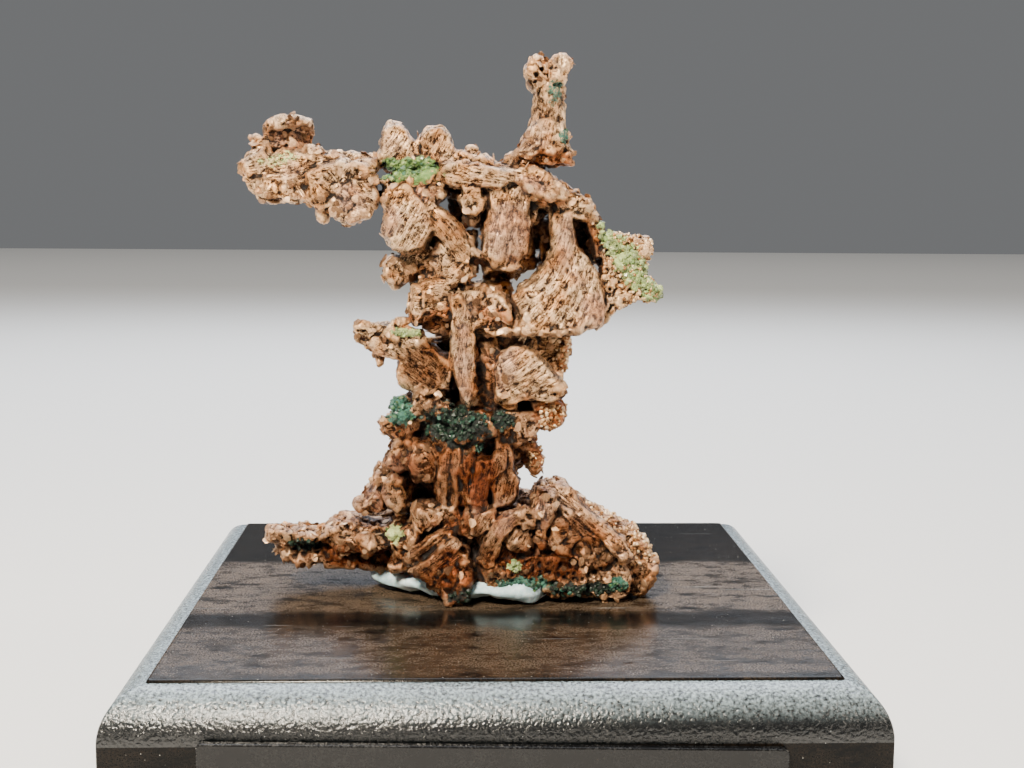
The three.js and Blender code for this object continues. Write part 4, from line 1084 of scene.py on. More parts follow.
@dataclass
class DisplayBase:
    """The lacquered black block: a smooth top, a stippled round shoulder and plain sides."""

    node: str = "display_base"
    top_width: float = 68.0
    shoulder_drop: float = 5.2
    lip: float = 0.3
    steps: int = 22
    mitre: float = 0.22
    crisp_angle: float = 0.6

    def build(self, groups: "SharedGroups") -> None:
        """Raises the block, breaks its mitres and lacquers it.

        Args:
            groups: The shared node groups.
        """
        low, high = (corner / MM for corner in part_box(self.node))
        bm = self._raised(self._rings((high.x - low.x) / 2, high.z))
        rounded(bm, [edge for edge in bm.edges if self._is_mitre(edge)], self.mitre, 2)
        for face in bm.faces:
            height = face.calc_center_median().z
            on_shoulder = high.z - self.shoulder_drop < height < high.z - self.lip
            face.material_index = 1 if on_shoulder else 0
            face.smooth = on_shoulder or abs(face.normal.z) < 0.99
        for edge in bm.edges:
            if len(edge.link_faces) == 2 and edge.calc_face_angle(0.0) > self.crisp_angle:
                edge.smooth = False
        base = place_piece(bm, "lacquered_base", Slot.BASE, self.node)
        # the shoulder's haze colour is a painted silvery-blue sheen on its upper part
        shoulder = LacquerFinish("stippled black lacquer", stippled=True, black="07090a",
                                 haze="8b9ba2", speck="8d9294", bump=0.5, gloss=1.0)
        base.data.materials.append(LacquerFinish().build(groups))
        base.data.materials.append(shoulder.build(groups))

    def _rings(self, half: float, top: float) -> list[tuple[float, float]]:
        """Lists the half width and height of each square ring, from the foot to the top face.

        Args:
            half: Half the foot's width.
            top: The top face's height.

        Returns:
            A half width and a height for each ring.
        """
        inner = self.top_width / 2
        rings = [(half, 0.0), (half, top - self.shoulder_drop)]
        for step in range(1, self.steps):
            angle = math.pi / 2 * step / self.steps
            width = inner + (half - inner) * math.cos(angle)
            height = top - self.lip - (self.shoulder_drop - self.lip) * (1 - math.sin(angle))
            rings.append((width, height))
        rings += [(inner + 0.05, top - self.lip), (inner, top - self.lip * 0.5),
                  (inner - self.lip * 0.4, top - self.lip * 0.12), (inner - self.lip, top)]
        return rings

    @staticmethod
    def _raised(rings: list[tuple[float, float]]) -> bmesh.types.BMesh:
        """Extrudes a square foot up from ring to ring and closes the top.

        Args:
            rings: A half width and a height for each ring.

        Returns:
            The closed block.
        """
        (width_now, height_now), *rest = rings
        bm = bmesh.new()
        bmesh.ops.create_grid(bm, x_segments=1, y_segments=1, size=width_now)
        bmesh.ops.reverse_faces(bm, faces=bm.faces[:])
        rim = bm.edges[:]
        for width, height in rest:
            grown = bmesh.ops.extrude_edge_only(bm, edges=rim)["geom"]
            corners = [item for item in grown if isinstance(item, bmesh.types.BMVert)]
            rim = [item for item in grown if isinstance(item, bmesh.types.BMEdge)]
            rim = [edge for edge in rim if all(vertex in corners for vertex in edge.verts)]
            bmesh.ops.translate(bm, vec=(0, 0, height - height_now), verts=corners)
            share = width / width_now
            bmesh.ops.scale(bm, vec=(share, share, 1), verts=corners)
            width_now, height_now = width, height
        bmesh.ops.holes_fill(bm, edges=rim, sides=0)
        bmesh.ops.recalc_face_normals(bm, faces=bm.faces)
        return bm

    @staticmethod
    def _is_mitre(edge: bmesh.types.BMEdge) -> bool:
        """Tells whether an edge runs up one of the four corners.

        Args:
            edge: One of the block's edges.

        Returns:
            Whether it does.
        """
        nothing = 1e-4
        first, second = (vertex.co for vertex in edge.verts)
        on_corner = all(abs(abs(end.x) - abs(end.y)) < nothing for end in (first, second))
        one_corner = first.x * second.x > 0 and first.y * second.y > 0
        return on_corner and one_corner and abs(first.z - second.z) > nothing


@dataclass
class LabelPlate:
    """The blank plate stuck on the front of the block, slightly crooked."""

    node: str = "label_plate"
    width: float = 56.0
    height: float = 11.0
    thickness: float = 0.8
    turn: float = 0.9
    corner: float = 0.5
    edge: float = 0.16

    def build(self, groups: "SharedGroups") -> None:
        """Cuts the plate, rounds its corners and front edges, and dresses it.

        Args:
            groups: The shared node groups.
        """
        low, high = (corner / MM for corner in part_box(self.node))
        bm = bmesh.new()
        bmesh.ops.create_cube(bm, size=1.0)
        bmesh.ops.scale(bm, vec=(self.width, self.thickness, self.height), verts=bm.verts)
        upright = [edge for edge in bm.edges if abs(edge.verts[0].co.y - edge.verts[1].co.y) > 0.1]
        rounded(bm, upright, self.corner, 5)
        front = [edge for edge in bm.edges if all(vertex.co.y < 0 for vertex in edge.verts)]
        rounded(bm, front, self.edge, 3)
        bmesh.ops.rotate(bm, cent=(0, 0, 0), verts=bm.verts,
                         matrix=Matrix.Rotation(math.radians(self.turn), 3, "Y"))
        bmesh.ops.translate(bm, vec=(low + high) / 2, verts=bm.verts)
        plate = place_piece(bm, "blank_plate", Slot.PLATE, self.node)
        plate.data.materials.append(PlateFinish().build(groups))


# ---- finishes ----

class Value:
    """A number, colour or vector that a node tree works out, which plain sums can join."""

    def __init__(self, shader: "Shader", socket: bpy.types.NodeSocket) -> None:
        """Keeps the socket and the tree that it is in."""
        self.shader = shader
        self.socket = socket

    def __add__(self, other: "Value | float") -> "Value":
        """Adds another value."""
        return self.shader.math("ADD", self, other)

    def __sub__(self, other: "Value | float") -> "Value":
        """Takes another value away."""
        return self.shader.math("SUBTRACT", self, other)

    def __rsub__(self, other: float) -> "Value":
        """Takes this value away from a number."""
        return self.shader.math("SUBTRACT", other, self)

    def __mul__(self, other: "Value | float") -> "Value":
        """Multiplies by another value."""
        return self.shader.math("MULTIPLY", self, other)

    def __abs__(self) -> "Value":
        """Drops the sign."""
        return self.shader.math("ABSOLUTE", self, 0.0)

    def most(self, other: "Value") -> "Value":
        """Gives the greater of two values."""
        return self.shader.math("MAXIMUM", self, other)

    def held(self) -> "Value":
        """Holds the last sum between 0 and 1."""
        self.socket.node.use_clamp = True
        return self

    def step(self, low: float, high: float) -> "Value":
        """Gives a smooth step from low to high."""
        inputs = {"Value": self, "From Min": low, "From Max": high}
        return self.shader.value("MapRange", inputs, interpolation_type="SMOOTHSTEP")

    def ramp(self, *stops: tuple[float, str]) -> "Value":
        """Turns the value into a colour.

        Args:
            stops: A place and a hex colour for each stop, lowest first.

        Returns:
            The colour.
        """
        made = self.shader.node("ValToRGB", {"Fac": self})
        elements = made.color_ramp.elements
        for at, (place, code) in enumerate(stops):
            stop = elements[at] if at < 2 else elements.new(place)
            stop.position = place
            stop.color = tone(code)
        return Value(self.shader, made.outputs[0])


class Shader:
    """A node tree that is built one named step at a time."""

    def __init__(self, tree: bpy.types.NodeTree) -> None:
        """Keeps the tree."""
        self.tree = tree

    def node(self, kind: str, inputs: dict[str | int, object] | None = None,
             **settings: object) -> bpy.types.Node:
        """Adds a node.

        Args:
            kind: The node's type, without its leading ShaderNode.
            inputs: A plain value or a worked-out one for each named or numbered input.
            settings: The node's own settings.

        Returns:
            The node.
        """
        made = self.tree.nodes.new("ShaderNode" + kind)
        for name, value in settings.items():
            setattr(made, name, value)
        for name, value in (inputs or {}).items():
            if isinstance(value, Value):
                self.tree.links.new(value.socket, made.inputs[name])
            else:
                made.inputs[name].default_value = value
        return made

    def value(self, kind: str, inputs: dict[str | int, object] | None = None,
              output: str | int = 0, **settings: object) -> Value:
        """Adds a node for one of its outputs.

        Args:
            kind: The node's type, without its leading ShaderNode.
            inputs: A plain value or a worked-out one for each named or numbered input.
            output: The output's name or number.
            settings: The node's own settings.

        Returns:
            What the output gives.
        """
        return Value(self, self.node(kind, inputs, **settings).outputs[output])

    def math(self, operation: str, first: Value | float, second: Value | float) -> Value:
        """Adds a sum of two values."""
        return self.value("Math", {0: first, 1: second}, operation=operation)

    def mix(self, share: Value | float, low: Value | str, high: Value | str,
            blend: str = "MIX") -> Value:
        """Mixes two colours.

        Args:
            share: How much of the second colour there is.
            low: The first colour, worked out or in hex digits.
            high: The second colour, worked out or in hex digits.
            blend: How the second colour is laid over the first.

        Returns:
            The mixed colour.
        """
        low, high = (tone(colour) if isinstance(colour, str) else colour for colour in (low, high))
        return self.value("Mix", {0: share, 6: low, 7: high}, 2, data_type="RGBA", blend_type=blend)

    def read(self, name: str, output: str = "Fac") -> Value:
        """Reads one of the piece's own attributes."""
        return self.value("Attribute", None, output, attribute_name=name)

    def noise(self, vector: Value, scale: Value | float, detail: float = 4.0,
              roughness: float = 0.6, distortion: float = 0.0) -> Value:
        """Adds noise of 0 to 1."""
        return self.value("TexNoise", {"Vector": vector, "Scale": scale, "Detail": detail,
                                       "Roughness": roughness, "Distortion": distortion})

    def group(self, tree: bpy.types.NodeTree, **inputs: Value | float) -> dict[str, Value]:
        """Places a shared group and gives its outputs by their names."""
        made = self.node("Group", inputs, node_tree=tree)
        return {socket.name: Value(self, socket) for socket in made.outputs}

    def bump(self, strength: float, depth: float, height: Value) -> Value:
        """Turns a height into a normal; the depth is in millimetres."""
        return self.value("Bump", {"Strength": strength, "Distance": depth * MM, "Height": height})

    def close(self, inputs: dict[str | int, object]) -> None:
        """Ends a material with one surface shader."""
        self.node("OutputMaterial", {"Surface": self.value("BsdfPrincipled", inputs)})


def started(name: str) -> tuple[bpy.types.Material, Shader, Value]:
    """Starts a material.

    Args:
        name: The finish's name.

    Returns:
        The material, its emptied tree, and the piece's own place in millimetres.
    """
    material = bpy.data.materials.new(name)
    material.use_nodes = True
    material.node_tree.nodes.clear()
    shader = Shader(material.node_tree)
    place = shader.value("TexCoord", None, "Object")
    return material, shader, shader.value("VectorMath", {0: place, "Scale": 1 / MM}, operation="SCALE")


class SharedGroups:
    """Node groups that more than one finish uses, each built once."""

    def __init__(self) -> None:
        """Builds the groups."""
        self.greens = self._greens()
        self.grit = self._grit()
        self.dust = self._dust()

    @staticmethod
    def _begin(name: str, **inputs: str) -> tuple[Shader, dict[str, Value]]:
        """Starts a group.

        Args:
            name: The group's name.
            inputs: Float or Vector for each named input.

        Returns:
            The group's tree, and its inputs by their names.
        """
        tree = bpy.data.node_groups.new(name, "ShaderNodeTree")
        for label, kind in inputs.items():
            tree.interface.new_socket(name=label, in_out="INPUT", socket_type="NodeSocket" + kind)
        shader = Shader(tree)
        entry = tree.nodes.new("NodeGroupInput")
        return shader, {label: Value(shader, entry.outputs[label]) for label in inputs}

    @staticmethod
    def _end(shader: Shader, kind: str, **outputs: Value) -> bpy.types.NodeTree:
        """Ends a group.

        Args:
            shader: The group's tree.
            kind: Float or Color, for all that it puts out.
            outputs: What to put out under each name.

        Returns:
            The group.
        """
        for label in outputs:
            shader.tree.interface.new_socket(name=label, in_out="OUTPUT",
                                             socket_type="NodeSocket" + kind)
        leave = shader.tree.nodes.new("NodeGroupOutput")
        for label, value in outputs.items():
            shader.tree.links.new(value.socket, leave.inputs[label])
        return shader.tree

    def _greens(self) -> bpy.types.NodeTree:
        """Copper salts: a colour for a shade of 0 to 1, mottled.

        Returns:
            The group.
        """
        shader, entry = self._begin("copper salts", Shade="Float", Place="Vector")
        mottle = shader.noise(entry["Place"], 2.4, 3.0) - 0.5
        shade = (entry["Shade"] + mottle * 0.55).held()
        colour = shade.ramp((0.0, "b3c280"), (0.18, "8fa862"), (0.38, "61833f"), (0.66, "3a6e60"),
                            (0.84, "14382b"), (1.0, "040d09"))
        return self._end(shader, "Color", Color=colour)

    def _grit(self) -> bpy.types.NodeTree:
        """Fine crumple: a height, and a mask of its hollows.

        Returns:
            The group.
        """
        shader, entry = self._begin("fine crumple", Place="Vector", Fineness="Float")
        lumps = shader.noise(entry["Place"], entry["Fineness"], 5.0, 0.62, 0.4)
        fold = shader.noise(entry["Place"], entry["Fineness"], 2.0, 0.5, 0.8)
        height = lumps * 0.8 + abs(fold - 0.5).step(0.0, 0.09) * 0.3
        return self._end(shader, "Float", Height=height, Hollows=height.step(0.66, 0.44))

    def _dust(self) -> bpy.types.NodeTree:
        """Dust: a soft haze and hard specks.

        Returns:
            The group.
        """
        shader, entry = self._begin("dust", Place="Vector")
        place = entry["Place"]
        haze = shader.noise(place, 0.35, 6.0, 0.7).step(0.35, 0.7)
        grain = shader.noise(place, 3.6, 3.0, 0.7).step(0.4, 0.68)
        away = shader.value("TexVoronoi", {"Vector": place, "Scale": 1.15, "Randomness": 1.0})
        inside = shader.noise(place, 0.9, 2.0) * 0.13 - away
        return self._end(shader, "Float", Haze=haze * grain, Specks=inside.step(0.0, 0.03))


@dataclass(frozen=True)
class CopperFinish:
    """Native copper: cream-tan foil with dark wrinkles, a lilac tint, tarnish and copper salts, plus
    painted shade and painted orange bounce light.
    """

    name: str
    cream: str = "e9c59c"
    tan: str = "a48464"
    wrinkle: str = "2a180e"
    warmth: str = "f2cfa6"
    brown: str = "a08066"
    lilac: str = "a8928e"
    # the orange of the painted bounce light
    ember: str = "c88d58"
    # the near black of the painted shade in shut-in places, creases and pits
    black: str = "0e0805"
    lilac_share: float = 0.5
    tarnish_share: float = 0.8
    painted_glow_share: float = 0.7
    metallic: float = 0.9
    roughness: float = 0.29
    relief: float = 0.13

    def build(self, groups: SharedGroups) -> bpy.types.Material:
        """Builds the material.

        Args:
            groups: The shared node groups.

        Returns:
            The material.
        """
        material, shader, place = started(self.name)
        crumple = shader.group(groups.grit, Place=place, Fineness=3.6)
        lines = shader.noise(shader.read("grain", "Vector"), 4.6, 4.0, 0.68, 0.7)
        seam = abs(lines - 0.5).step(0.035, 0.0)
        crease = shader.read("crease")
        # the level sets the foil's colour: lower and darker in wrinkles, seams and creases, partly the
        # foil's own lines and partly painted shade, and cream on ridges, partly a painted highlight
        level = lines + (crumple["Height"] - 0.62) * 0.45 - seam * 0.12 - crease * 0.2
        shut = 1.0 - shader.read("openness")
        # painted shade: shut-in places, creases and pits are darkened towards near black
        dark = shut.step(0.42, 0.74).most(crease.step(0.35, 1.0)).most(shader.read("pits") * 0.85)
        colour = self._tint_tarnish_and_glow(shader, self._foil(shader, place, level), shut)
        colour = shader.mix(dark * 0.9, colour, self.black)
        salts = shader.group(groups.greens, Shade=shader.read("shade"), Place=place)
        crust = (shader.read("green") + (crumple["Height"] - 0.58) * 1.6).step(0.42, 0.62)
        colour = shader.mix(crust, colour, salts["Color"])
        dull = crust.most(dark * 0.5)
        roughness = (crumple["Hollows"] * 0.16 + self.roughness + dull * 0.3).held()
        height = lines * 0.9 + crumple["Height"] * 0.6 - seam * 0.22
        shader.close({"Base Color": colour, "Metallic": (1.0 - dull) * self.metallic,
                      "Roughness": roughness, "Normal": shader.bump(1.0, self.relief, height)})
        return material

    def _foil(self, shader: Shader, place: Value, level: Value) -> Value:
        """Colours clean foil: dark in its wrinkles, cream on its ridges, warmer in broad patches; the
        dark is partly the foil's own lines and partly painted shade, the cream partly a painted
        highlight.

        Args:
            shader: The material's tree.
            place: The piece's own place, in millimetres.
            level: The wrinkles' level, from hollow to ridge.

        Returns:
            The colour.
        """
        colour = level.ramp((0.35, self.wrinkle), (0.46, self.tan), (0.58, self.cream))
        broad = shader.noise(place, 0.35, 4.0, 0.6).step(0.4, 0.65)
        return shader.mix(0.8, colour, shader.mix(broad, "ffffff", self.warmth), "MULTIPLY")

    def _tint_tarnish_and_glow(self, shader: Shader, colour: Value, shut: Value) -> Value:
        """Lays a lilac tint, brown tarnish and a painted orange glow of bounced light, in listed
        patches and where shut in, over the foil.

        Args:
            shader: The material's tree.
            colour: The clean foil's colour.
            shut: How shut in each place is.

        Returns:
            The colour.
        """
        lilac_tint = shader.mix(0.65, self.lilac, colour, "OVERLAY")
        colour = shader.mix(shader.read("lilac") * self.lilac_share, colour, lilac_tint)
        tarnish = shader.mix(1.0, colour, self.brown, "MULTIPLY")
        colour = shader.mix(shader.read("brown") * self.tarnish_share, colour, tarnish)
        # painted bounce light: orange in the listed patches and where shut in
        painted_glow = shader.read("ember").most(shut.step(0.4, 0.75)) * self.painted_glow_share
        return shader.mix(painted_glow, colour, shader.mix(1.0, colour, self.ember, "MULTIPLY"))


@dataclass(frozen=True)
class GrainFinish:
    """Grains or leaves of copper: golden, with painted shade in their low parts and painted shadow
    where shut in.
    """

    name: str = "granular copper"
    stops: tuple[tuple[float, str], ...] = ((0.0, "6b452a"), (0.3, "b08558"), (0.65, "dcb88c"),
                                            (1.0, "f4dcb8"))
    shadow: str = "3a1a0a"

    def build(self, groups: SharedGroups) -> bpy.types.Material:
        """Builds the material.

        Args:
            groups: The shared node groups.

        Returns:
            The material.
        """
        material, shader, place = started(self.name)
        height = shader.group(groups.grit, Place=place, Fineness=3.4)["Height"]
        # a random tone for each grain, darker where the fine crumple is low, a painted shade
        colour = (shader.read("tint") + (height - 0.6) * 0.6).held().ramp(*self.stops)
        shut = 1.0 - shader.read("openness")
        # painted shadow where shut in
        colour = shader.mix(shut.step(0.35, 0.9), colour, self.shadow)
        shader.close({"Base Color": colour, "Metallic": 0.8, "Roughness": 0.42,
                      "Normal": shader.bump(0.7, 0.1, height)})
        return material


@dataclass(frozen=True)
class MalachiteFinish:
    """Grains of green copper salts."""

    name: str = "green copper salts"
    hollow: str = "1c3a22"
    shadow: str = "07140d"

    def build(self, groups: SharedGroups) -> bpy.types.Material:
        """Builds the material.

        Args:
            groups: The shared node groups.

        Returns:
            The material.
        """
        material, shader, place = started(self.name)
        salts = shader.group(groups.greens, Shade=shader.read("shade"), Place=place)
        crumple = shader.group(groups.grit, Place=place, Fineness=3.0)
        bright = shader.read("tint").ramp((0.0, "8f8f8f"), (1.0, "ffffff"))
        colour = shader.mix(1.0, salts["Color"], bright, "MULTIPLY")
        # painted shade: darker green in the fine crumple's hollows
        colour = shader.mix(crumple["Hollows"] * 0.5, colour, self.hollow)
        shut = 1.0 - shader.read("openness")
        colour = shader.mix(shut.step(0.5, 1.0), colour, self.shadow)
        shader.close({"Base Color": colour, "Roughness": 0.42, "Coat Weight": 0.2,
                      "Normal": shader.bump(0.6, 0.08, crumple["Height"])})
        return material


@dataclass(frozen=True)
class TackFinish:
    """Pale blue-white mineral tack with a greasy sheen."""

    name: str = "mineral tack"
    hollow: str = "8aa9b4"
    glow_depth: float = 0.8

    def build(self, groups: SharedGroups) -> bpy.types.Material:
        """Builds the material.

        Args:
            groups: The shared node groups.

        Returns:
            The material.
        """
        material, shader, place = started(self.name)
        crumple = shader.group(groups.grit, Place=place, Fineness=0.9)
        colour = shader.noise(place, 0.5).ramp((0.35, "9fbcc4"), (0.65, "d8eaec"))
        # painted shade: darker blue in the fine crumple's hollows
        colour = shader.mix(crumple["Hollows"] * 0.35, colour, self.hollow)
        shader.close({"Base Color": colour, "Roughness": 0.48, "Subsurface Weight": 0.15,
                      "Subsurface Scale": self.glow_depth * MM,
                      "Normal": shader.bump(0.35, 0.15, crumple["Height"])})
        return material


@dataclass(frozen=True)
class LacquerFinish:
    """Glossy black lacquer with two bands of painted reflection over faint dust on the top, a painted
    sheen on the shoulder's upper part, thin scratches and specks.
    """

    name: str = "dusty black lacquer"
    stippled: bool = False
    black: str = "040506"
    # haze: the colour of the painted reflection and faint dust on the top, and of the painted sheen on
    # the shoulder
    haze: str = "87715b"
    speck: str = "b9b6b0"
    scratch: str = "a3a5a5"
    bump: float = 0.05
    gloss: float = 0.18
    # where the two bands of painted reflection lie across the top
    bands: tuple[tuple[float, float], ...] = ((-11.0, 11.0), (-33.0, -17.0))
    reflection_band_fade: float = 1.5
    # the heights between which the shoulder carries its painted sheen
    painted_sheen_rise: tuple[float, float] = (15.4, 18.4)

    def build(self, groups: SharedGroups) -> bpy.types.Material:
        """Builds the material.

        Args:
            groups: The shared node groups.

        Returns:
            The material.
        """
        material, shader, place = started(self.name)
        dust = shader.group(groups.dust, Place=place)
        across = shader.node("SeparateXYZ", {0: place}).outputs
        if self.stippled:
            colour, roughness, height = self._stipple(shader, place, Value(shader, across["Z"]), dust)
        else:
            colour, roughness, height = self._flat(shader, place, Value(shader, across["Y"]), dust)
        shader.close({"Base Color": colour, "Roughness": roughness, "IOR": 1.4,
                      "Specular IOR Level": self.gloss,
                      "Normal": shader.bump(self.bump, 0.2, height)})
        return material

    def _stipple(self, shader: Shader, place: Value, rise: Value,
                 dust: dict[str, Value]) -> tuple[Value, Value, Value]:
        """Gives the textured shoulder's colour, roughness and height.

        Args:
            shader: The material's tree.
            place: The piece's own place, in millimetres.
            rise: The height of each place, in millimetres.
            dust: The dust group's outputs by their names.

        Returns:
            The colour, the roughness and the height.
        """
        cell = shader.value("TexVoronoi", {"Vector": place, "Scale": 2.6}, feature="SMOOTH_F1")
        fine = shader.noise(place, 3.0, 3.0)
        # painted sheen: the shoulder's upper part is mottled with the haze colour
        colour = shader.mix(rise.step(*self.painted_sheen_rise) * fine.step(0.28, 0.75), self.black, self.haze)
        colour = shader.mix(dust["Specks"], colour, self.speck)
        return colour, dust["Haze"] * 0.2 + 0.2, fine - cell * 0.8

    def _flat(self, shader: Shader, place: Value, depth: Value,
              dust: dict[str, Value]) -> tuple[Value, Value, Value]:
        """Gives the smooth top's and sides' colour, roughness and height.

        Args:
            shader: The material's tree.
            place: The piece's own place, in millimetres.
            depth: How far back each place is, in millimetres.
            dust: The dust group's outputs by their names.

        Returns:
            The colour, the roughness and the height.
        """
        # painted reflection: two bands across the top, far and near, over a faint even haze of dust,
        # broken up by streaks and fine noise
        depth = depth + (shader.noise(place, 0.16, 3.0) - 0.5) * 4.0
        fade = self.reflection_band_fade
        far, near = (depth.step(low - fade, low + fade) * depth.step(high + fade, high - fade)
                     for low, high in self.bands)
        streaks = shader.value("Mapping", {"Vector": place, "Scale": (0.4, 0.8, 1.0)})
        streak = shader.noise(streaks, 0.7, 5.0, 0.75).step(0.3, 0.6)
        haze = streak * ((far + near * 0.6) * 0.5 + 0.05)
        haze = haze * shader.noise(place, 5.0, 3.0, 0.8).step(0.36, 0.66)
        colour = shader.mix(haze, self.black, self.haze)
        stretched = shader.value("Mapping", {"Vector": place, "Scale": (0.05, 3.0, 0.6)})
        scratch = shader.noise(stretched, 1.0, 2.0, 0.5).step(0.73, 0.76)
        colour = shader.mix(scratch * 0.5, colour, self.scratch)
        colour = shader.mix(dust["Specks"], colour, self.speck)
        return colour, haze * 0.7 + 0.14, dust["Haze"]


@dataclass(frozen=True)
class PlateFinish:
    """Blank black plastic with a faint haze of dust."""

    name: str = "blank black plastic"
    black: str = "060607"
    haze: str = "56585a"

    def build(self, groups: SharedGroups) -> bpy.types.Material:
        """Builds the material.

        Args:
            groups: The shared node groups.

        Returns:
            The material.
        """
        material, shader, place = started(self.name)
        dust = shader.group(groups.dust, Place=place)
        colour = shader.mix(dust["Haze"] * 0.12, self.black, self.haze)
        shader.close({"Base Color": colour, "Roughness": dust["Haze"] * 0.3 + 0.22, "IOR": 1.4})
        return material


# ---- the studio ----

@dataclass
class StudioCamera:
    """The camera, a little above the specimen's middle and looking slightly down.

    Its place, film and nearest sight are in millimetres, and its angles are in radians.
    """

    place: tuple[float, float, float] = (-4.0, -170.1, 65.4)
    yaw: float = 0.0375
    pitch: float = 0.1281
    roll: float = 0.0074
    lens: float = 51.0
    film: float = 36.0
    nearest: float = 10.0

    def build(self) -> None:
        """Sets the camera up."""
        camera = linked("camera", bpy.data.cameras.new("camera"))
        ahead = Vector((math.sin(self.yaw) * math.cos(self.pitch),
                        math.cos(self.yaw) * math.cos(self.pitch), -math.sin(self.pitch)))
        level = Vector((math.cos(self.yaw), -math.sin(self.yaw), 0))
        over = level.cross(ahead)
        right = level * math.cos(self.roll) + over * math.sin(self.roll)
        up = over * math.cos(self.roll) - level * math.sin(self.roll)
        turn = Matrix((right, up, -ahead)).transposed().to_4x4()
        camera.matrix_world = Matrix.Translation(Vector(self.place) * MM) @ turn
        camera.data.lens = self.lens
        camera.data.sensor_width = self.film
        camera.data.clip_start = self.nearest * MM
        bpy.context.scene.camera = camera


@dataclass
class SoftLamp:
    """One square softbox, in metres and watts."""

    name: str
    place: tuple[float, float, float]
    aim: tuple[float, float, float]
    size: float
    power: float
    colour: str = "ffffff"

    def build(self) -> None:
        """Hangs the softbox and points it."""
        lamp = bpy.data.lights.new(self.name, "AREA")
        lamp.shape = "RECTANGLE"
        lamp.size = self.size
        lamp.size_y = self.size
        lamp.energy = self.power
        lamp.color = tone(self.colour)[:3]
        holder = linked(self.name, lamp)
        holder.location = self.place
        ahead = Vector(self.aim) - Vector(self.place)
        holder.rotation_euler = ahead.to_track_quat("-Z", "Y").to_euler()


@dataclass
class Studio:
    """A plain pale floor under soft light, in metres."""

    floor_half: float = 1.6
    floor_tone: str = "d9d6d1"
    air_tone: str = "c4c6c8"
    air_strength: float = 0.3
    lamps: list[SoftLamp] = field(default_factory=lambda: [
        SoftLamp("key", (-0.14, -0.28, 0.32), (0, 0, 0.05), 0.07, 5.8, "fff2dc"),
        SoftLamp("back", (0.0, 0.34, 0.45), (0, 0, 0.03), 0.60, 7.0, "e6f0ff"),
        SoftLamp("side", (0.36, -0.10, 0.20), (0, 0, 0.05), 0.16, 0.9, "fff0dd"),
        SoftLamp("ceiling", (0.0, 0.6, 1.6), (0, 0.6, 0), 1.6, 16.0, "ffffff"),
    ])

    def build(self) -> None:
        """Lays the floor, fills the air and hangs the lamps."""
        bm = bmesh.new()
        bmesh.ops.create_grid(bm, x_segments=1, y_segments=1, size=self.floor_half)
        mesh = bpy.data.meshes.new("floor")
        bm.to_mesh(mesh)
        bm.free()
        floor = linked("floor", mesh)
        material = bpy.data.materials.new("pale floor")
        material.use_nodes = True
        surface = material.node_tree.nodes["Principled BSDF"]
        surface.inputs["Base Color"].default_value = tone(self.floor_tone)
        surface.inputs["Roughness"].default_value = 0.85
        mesh.materials.append(material)
        world = bpy.data.worlds.new("air")
        world.use_nodes = True
        air = world.node_tree.nodes["Background"]
        air.inputs["Color"].default_value = tone(self.air_tone)
        air.inputs["Strength"].default_value = self.air_strength
        bpy.context.scene.world = world
        for lamp in self.lamps:
            lamp.build()


# ---- putting it together ----

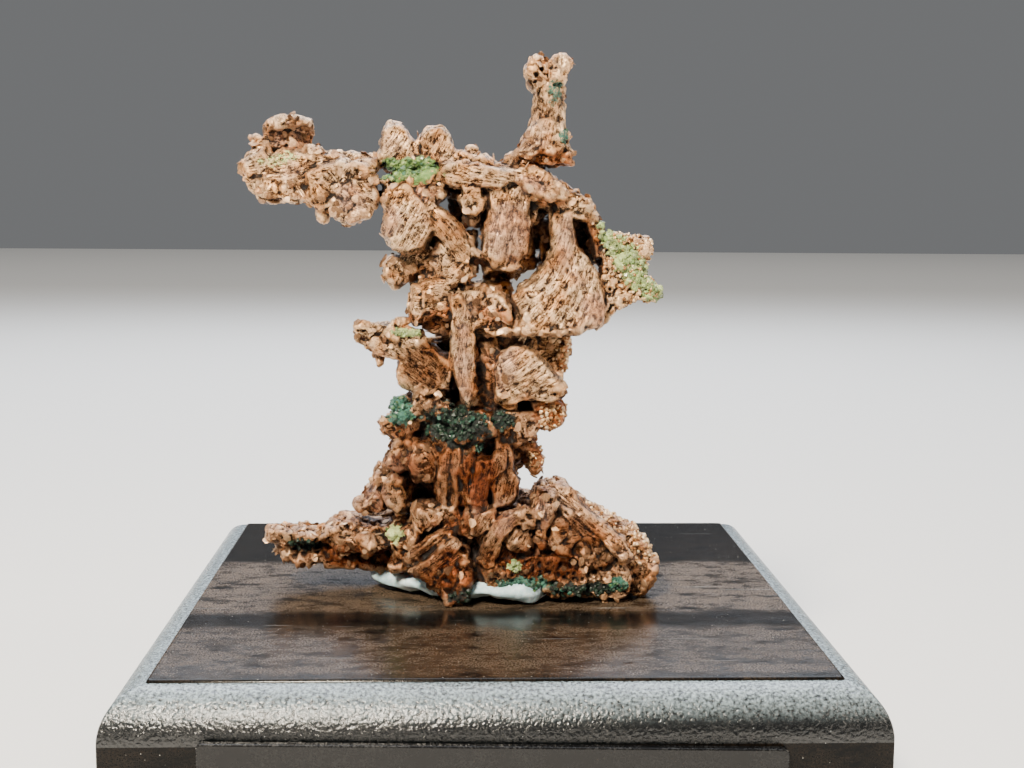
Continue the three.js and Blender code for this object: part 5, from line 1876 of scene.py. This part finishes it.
@dataclass
class NativeCopper:
    """The specimen's limbs, and the salts, grains and torn leaves that lie on them.

    Sizes are in millimetres. A count and a size of grain go with each granular patch.
    """

    darker_lower_limbs: tuple[str, ...] = ("copper_foot", "copper_left_spur", "copper_trunk")
    grain_counts: tuple[int, ...] = (520, 170, 200, 220, 420, 90)
    grain_sizes: tuple[float, ...] = (0.26, 0.24, 0.26, 0.24, 0.24, 0.2)
    leaf_count: int = 3200
    leaf_size: float = 0.55
    leaf_sunk: float = 0.3
    leaf_flat: float = 0.16

    def build(self, groups: SharedGroups) -> None:
        """Builds and dresses every copper piece.

        Args:
            groups: The shared node groups.
        """
        skin = CopperSkin(sorted(node for node in frame["nodes"] if node.startswith("copper_")))
        LOG.info("skin: %d points", len(skin.points))
        skin.paint()
        self._limbs(skin, groups)
        self._salts(skin, groups)
        self._grains(skin, groups)
        self._leaves(skin, groups)

    def _limbs(self, skin: CopperSkin, groups: SharedGroups) -> None:
        """Parts the skin into limbs, bright above and darker below.

        Args:
            skin: The copper that carries the piece.
            groups: The shared node groups.
        """
        bright = CopperFinish("bright copper").build(groups)
        # the lower limbs take a darker copy of the same copper finish
        darker_lower = CopperFinish("tarnished copper", cream="cda683", tan="8e6c50",
                                 wrinkle="2a1a11", brown="ac8c72").build(groups)
        for node, mesh in skin.parted().items():
            dark = node in self.darker_lower_limbs
            mesh.materials.append(darker_lower if dark else bright)
            name = node.replace("copper_", "") + "_metal"
            adopt(mesh, name, Slot.DARK_COPPER if dark else Slot.COPPER, node)

    @staticmethod
    def _salts(skin: CopperSkin, groups: SharedGroups) -> None:
        """Scatters green grains over the crusts.

        Args:
            skin: The copper that carries the piece.
            groups: The shared node groups.
        """
        salts = Grains(skin, 101)
        for crust in CRUSTS:
            cover = crust.patch.cover(skin.points, skin.ragged)
            salts.scatter(cover, crust.grains, crust.grain_size, crust.green.value)
        piece = salts.finished("malachite_crust", Slot.MALACHITE, smooth=False)
        piece.data.materials.append(MalachiteFinish().build(groups))

    def _grains(self, skin: CopperSkin, groups: SharedGroups) -> None:
        """Scatters round copper grains over the granular patches.

        Args:
            skin: The copper that carries the piece.
            groups: The shared node groups.
        """
        golden = Grains(skin, 102)
        for patch, count, size in zip(GRANULAR, self.grain_counts, self.grain_sizes):
            golden.scatter(patch.cover(skin.points, skin.ragged), count, size)
        piece = golden.finished("copper_grains", Slot.COPPER, smooth=True)
        piece.data.materials.append(GrainFinish().build(groups))

    def _leaves(self, skin: CopperSkin, groups: SharedGroups) -> None:
        """Lays thin torn leaves over the foil that is neither pleated nor green.

        Args:
            skin: The copper that carries the piece.
            groups: The shared node groups.
        """
        leaves = Grains(skin, 103)
        bare = np.clip(1 - 0.9 * skin.pleated - skin.green, 0, 1)
        leaves.scatter(bare, self.leaf_count, self.leaf_size, sunk=self.leaf_sunk,
                       flat=self.leaf_flat)
        piece = leaves.finished("torn_leaves", Slot.COPPER, smooth=False)
        tones = ((0.0, "4f3522"), (0.35, "8e6a4c"), (0.7, "c9a17b"), (1.0, "ecc9a4"))
        piece.data.materials.append(GrainFinish("torn copper leaves", tones).build(groups))


def main() -> None:
    """Builds the studio and the specimen."""
    logging.basicConfig(level=logging.INFO, format="%(name)s: %(message)s")
    StudioCamera().build()
    Studio().build()
    groups = SharedGroups()
    for part in (MineralTack(), DisplayBase(), LabelPlate(), NativeCopper()):
        part.build(groups)


if __name__ == "__main__":
    main()
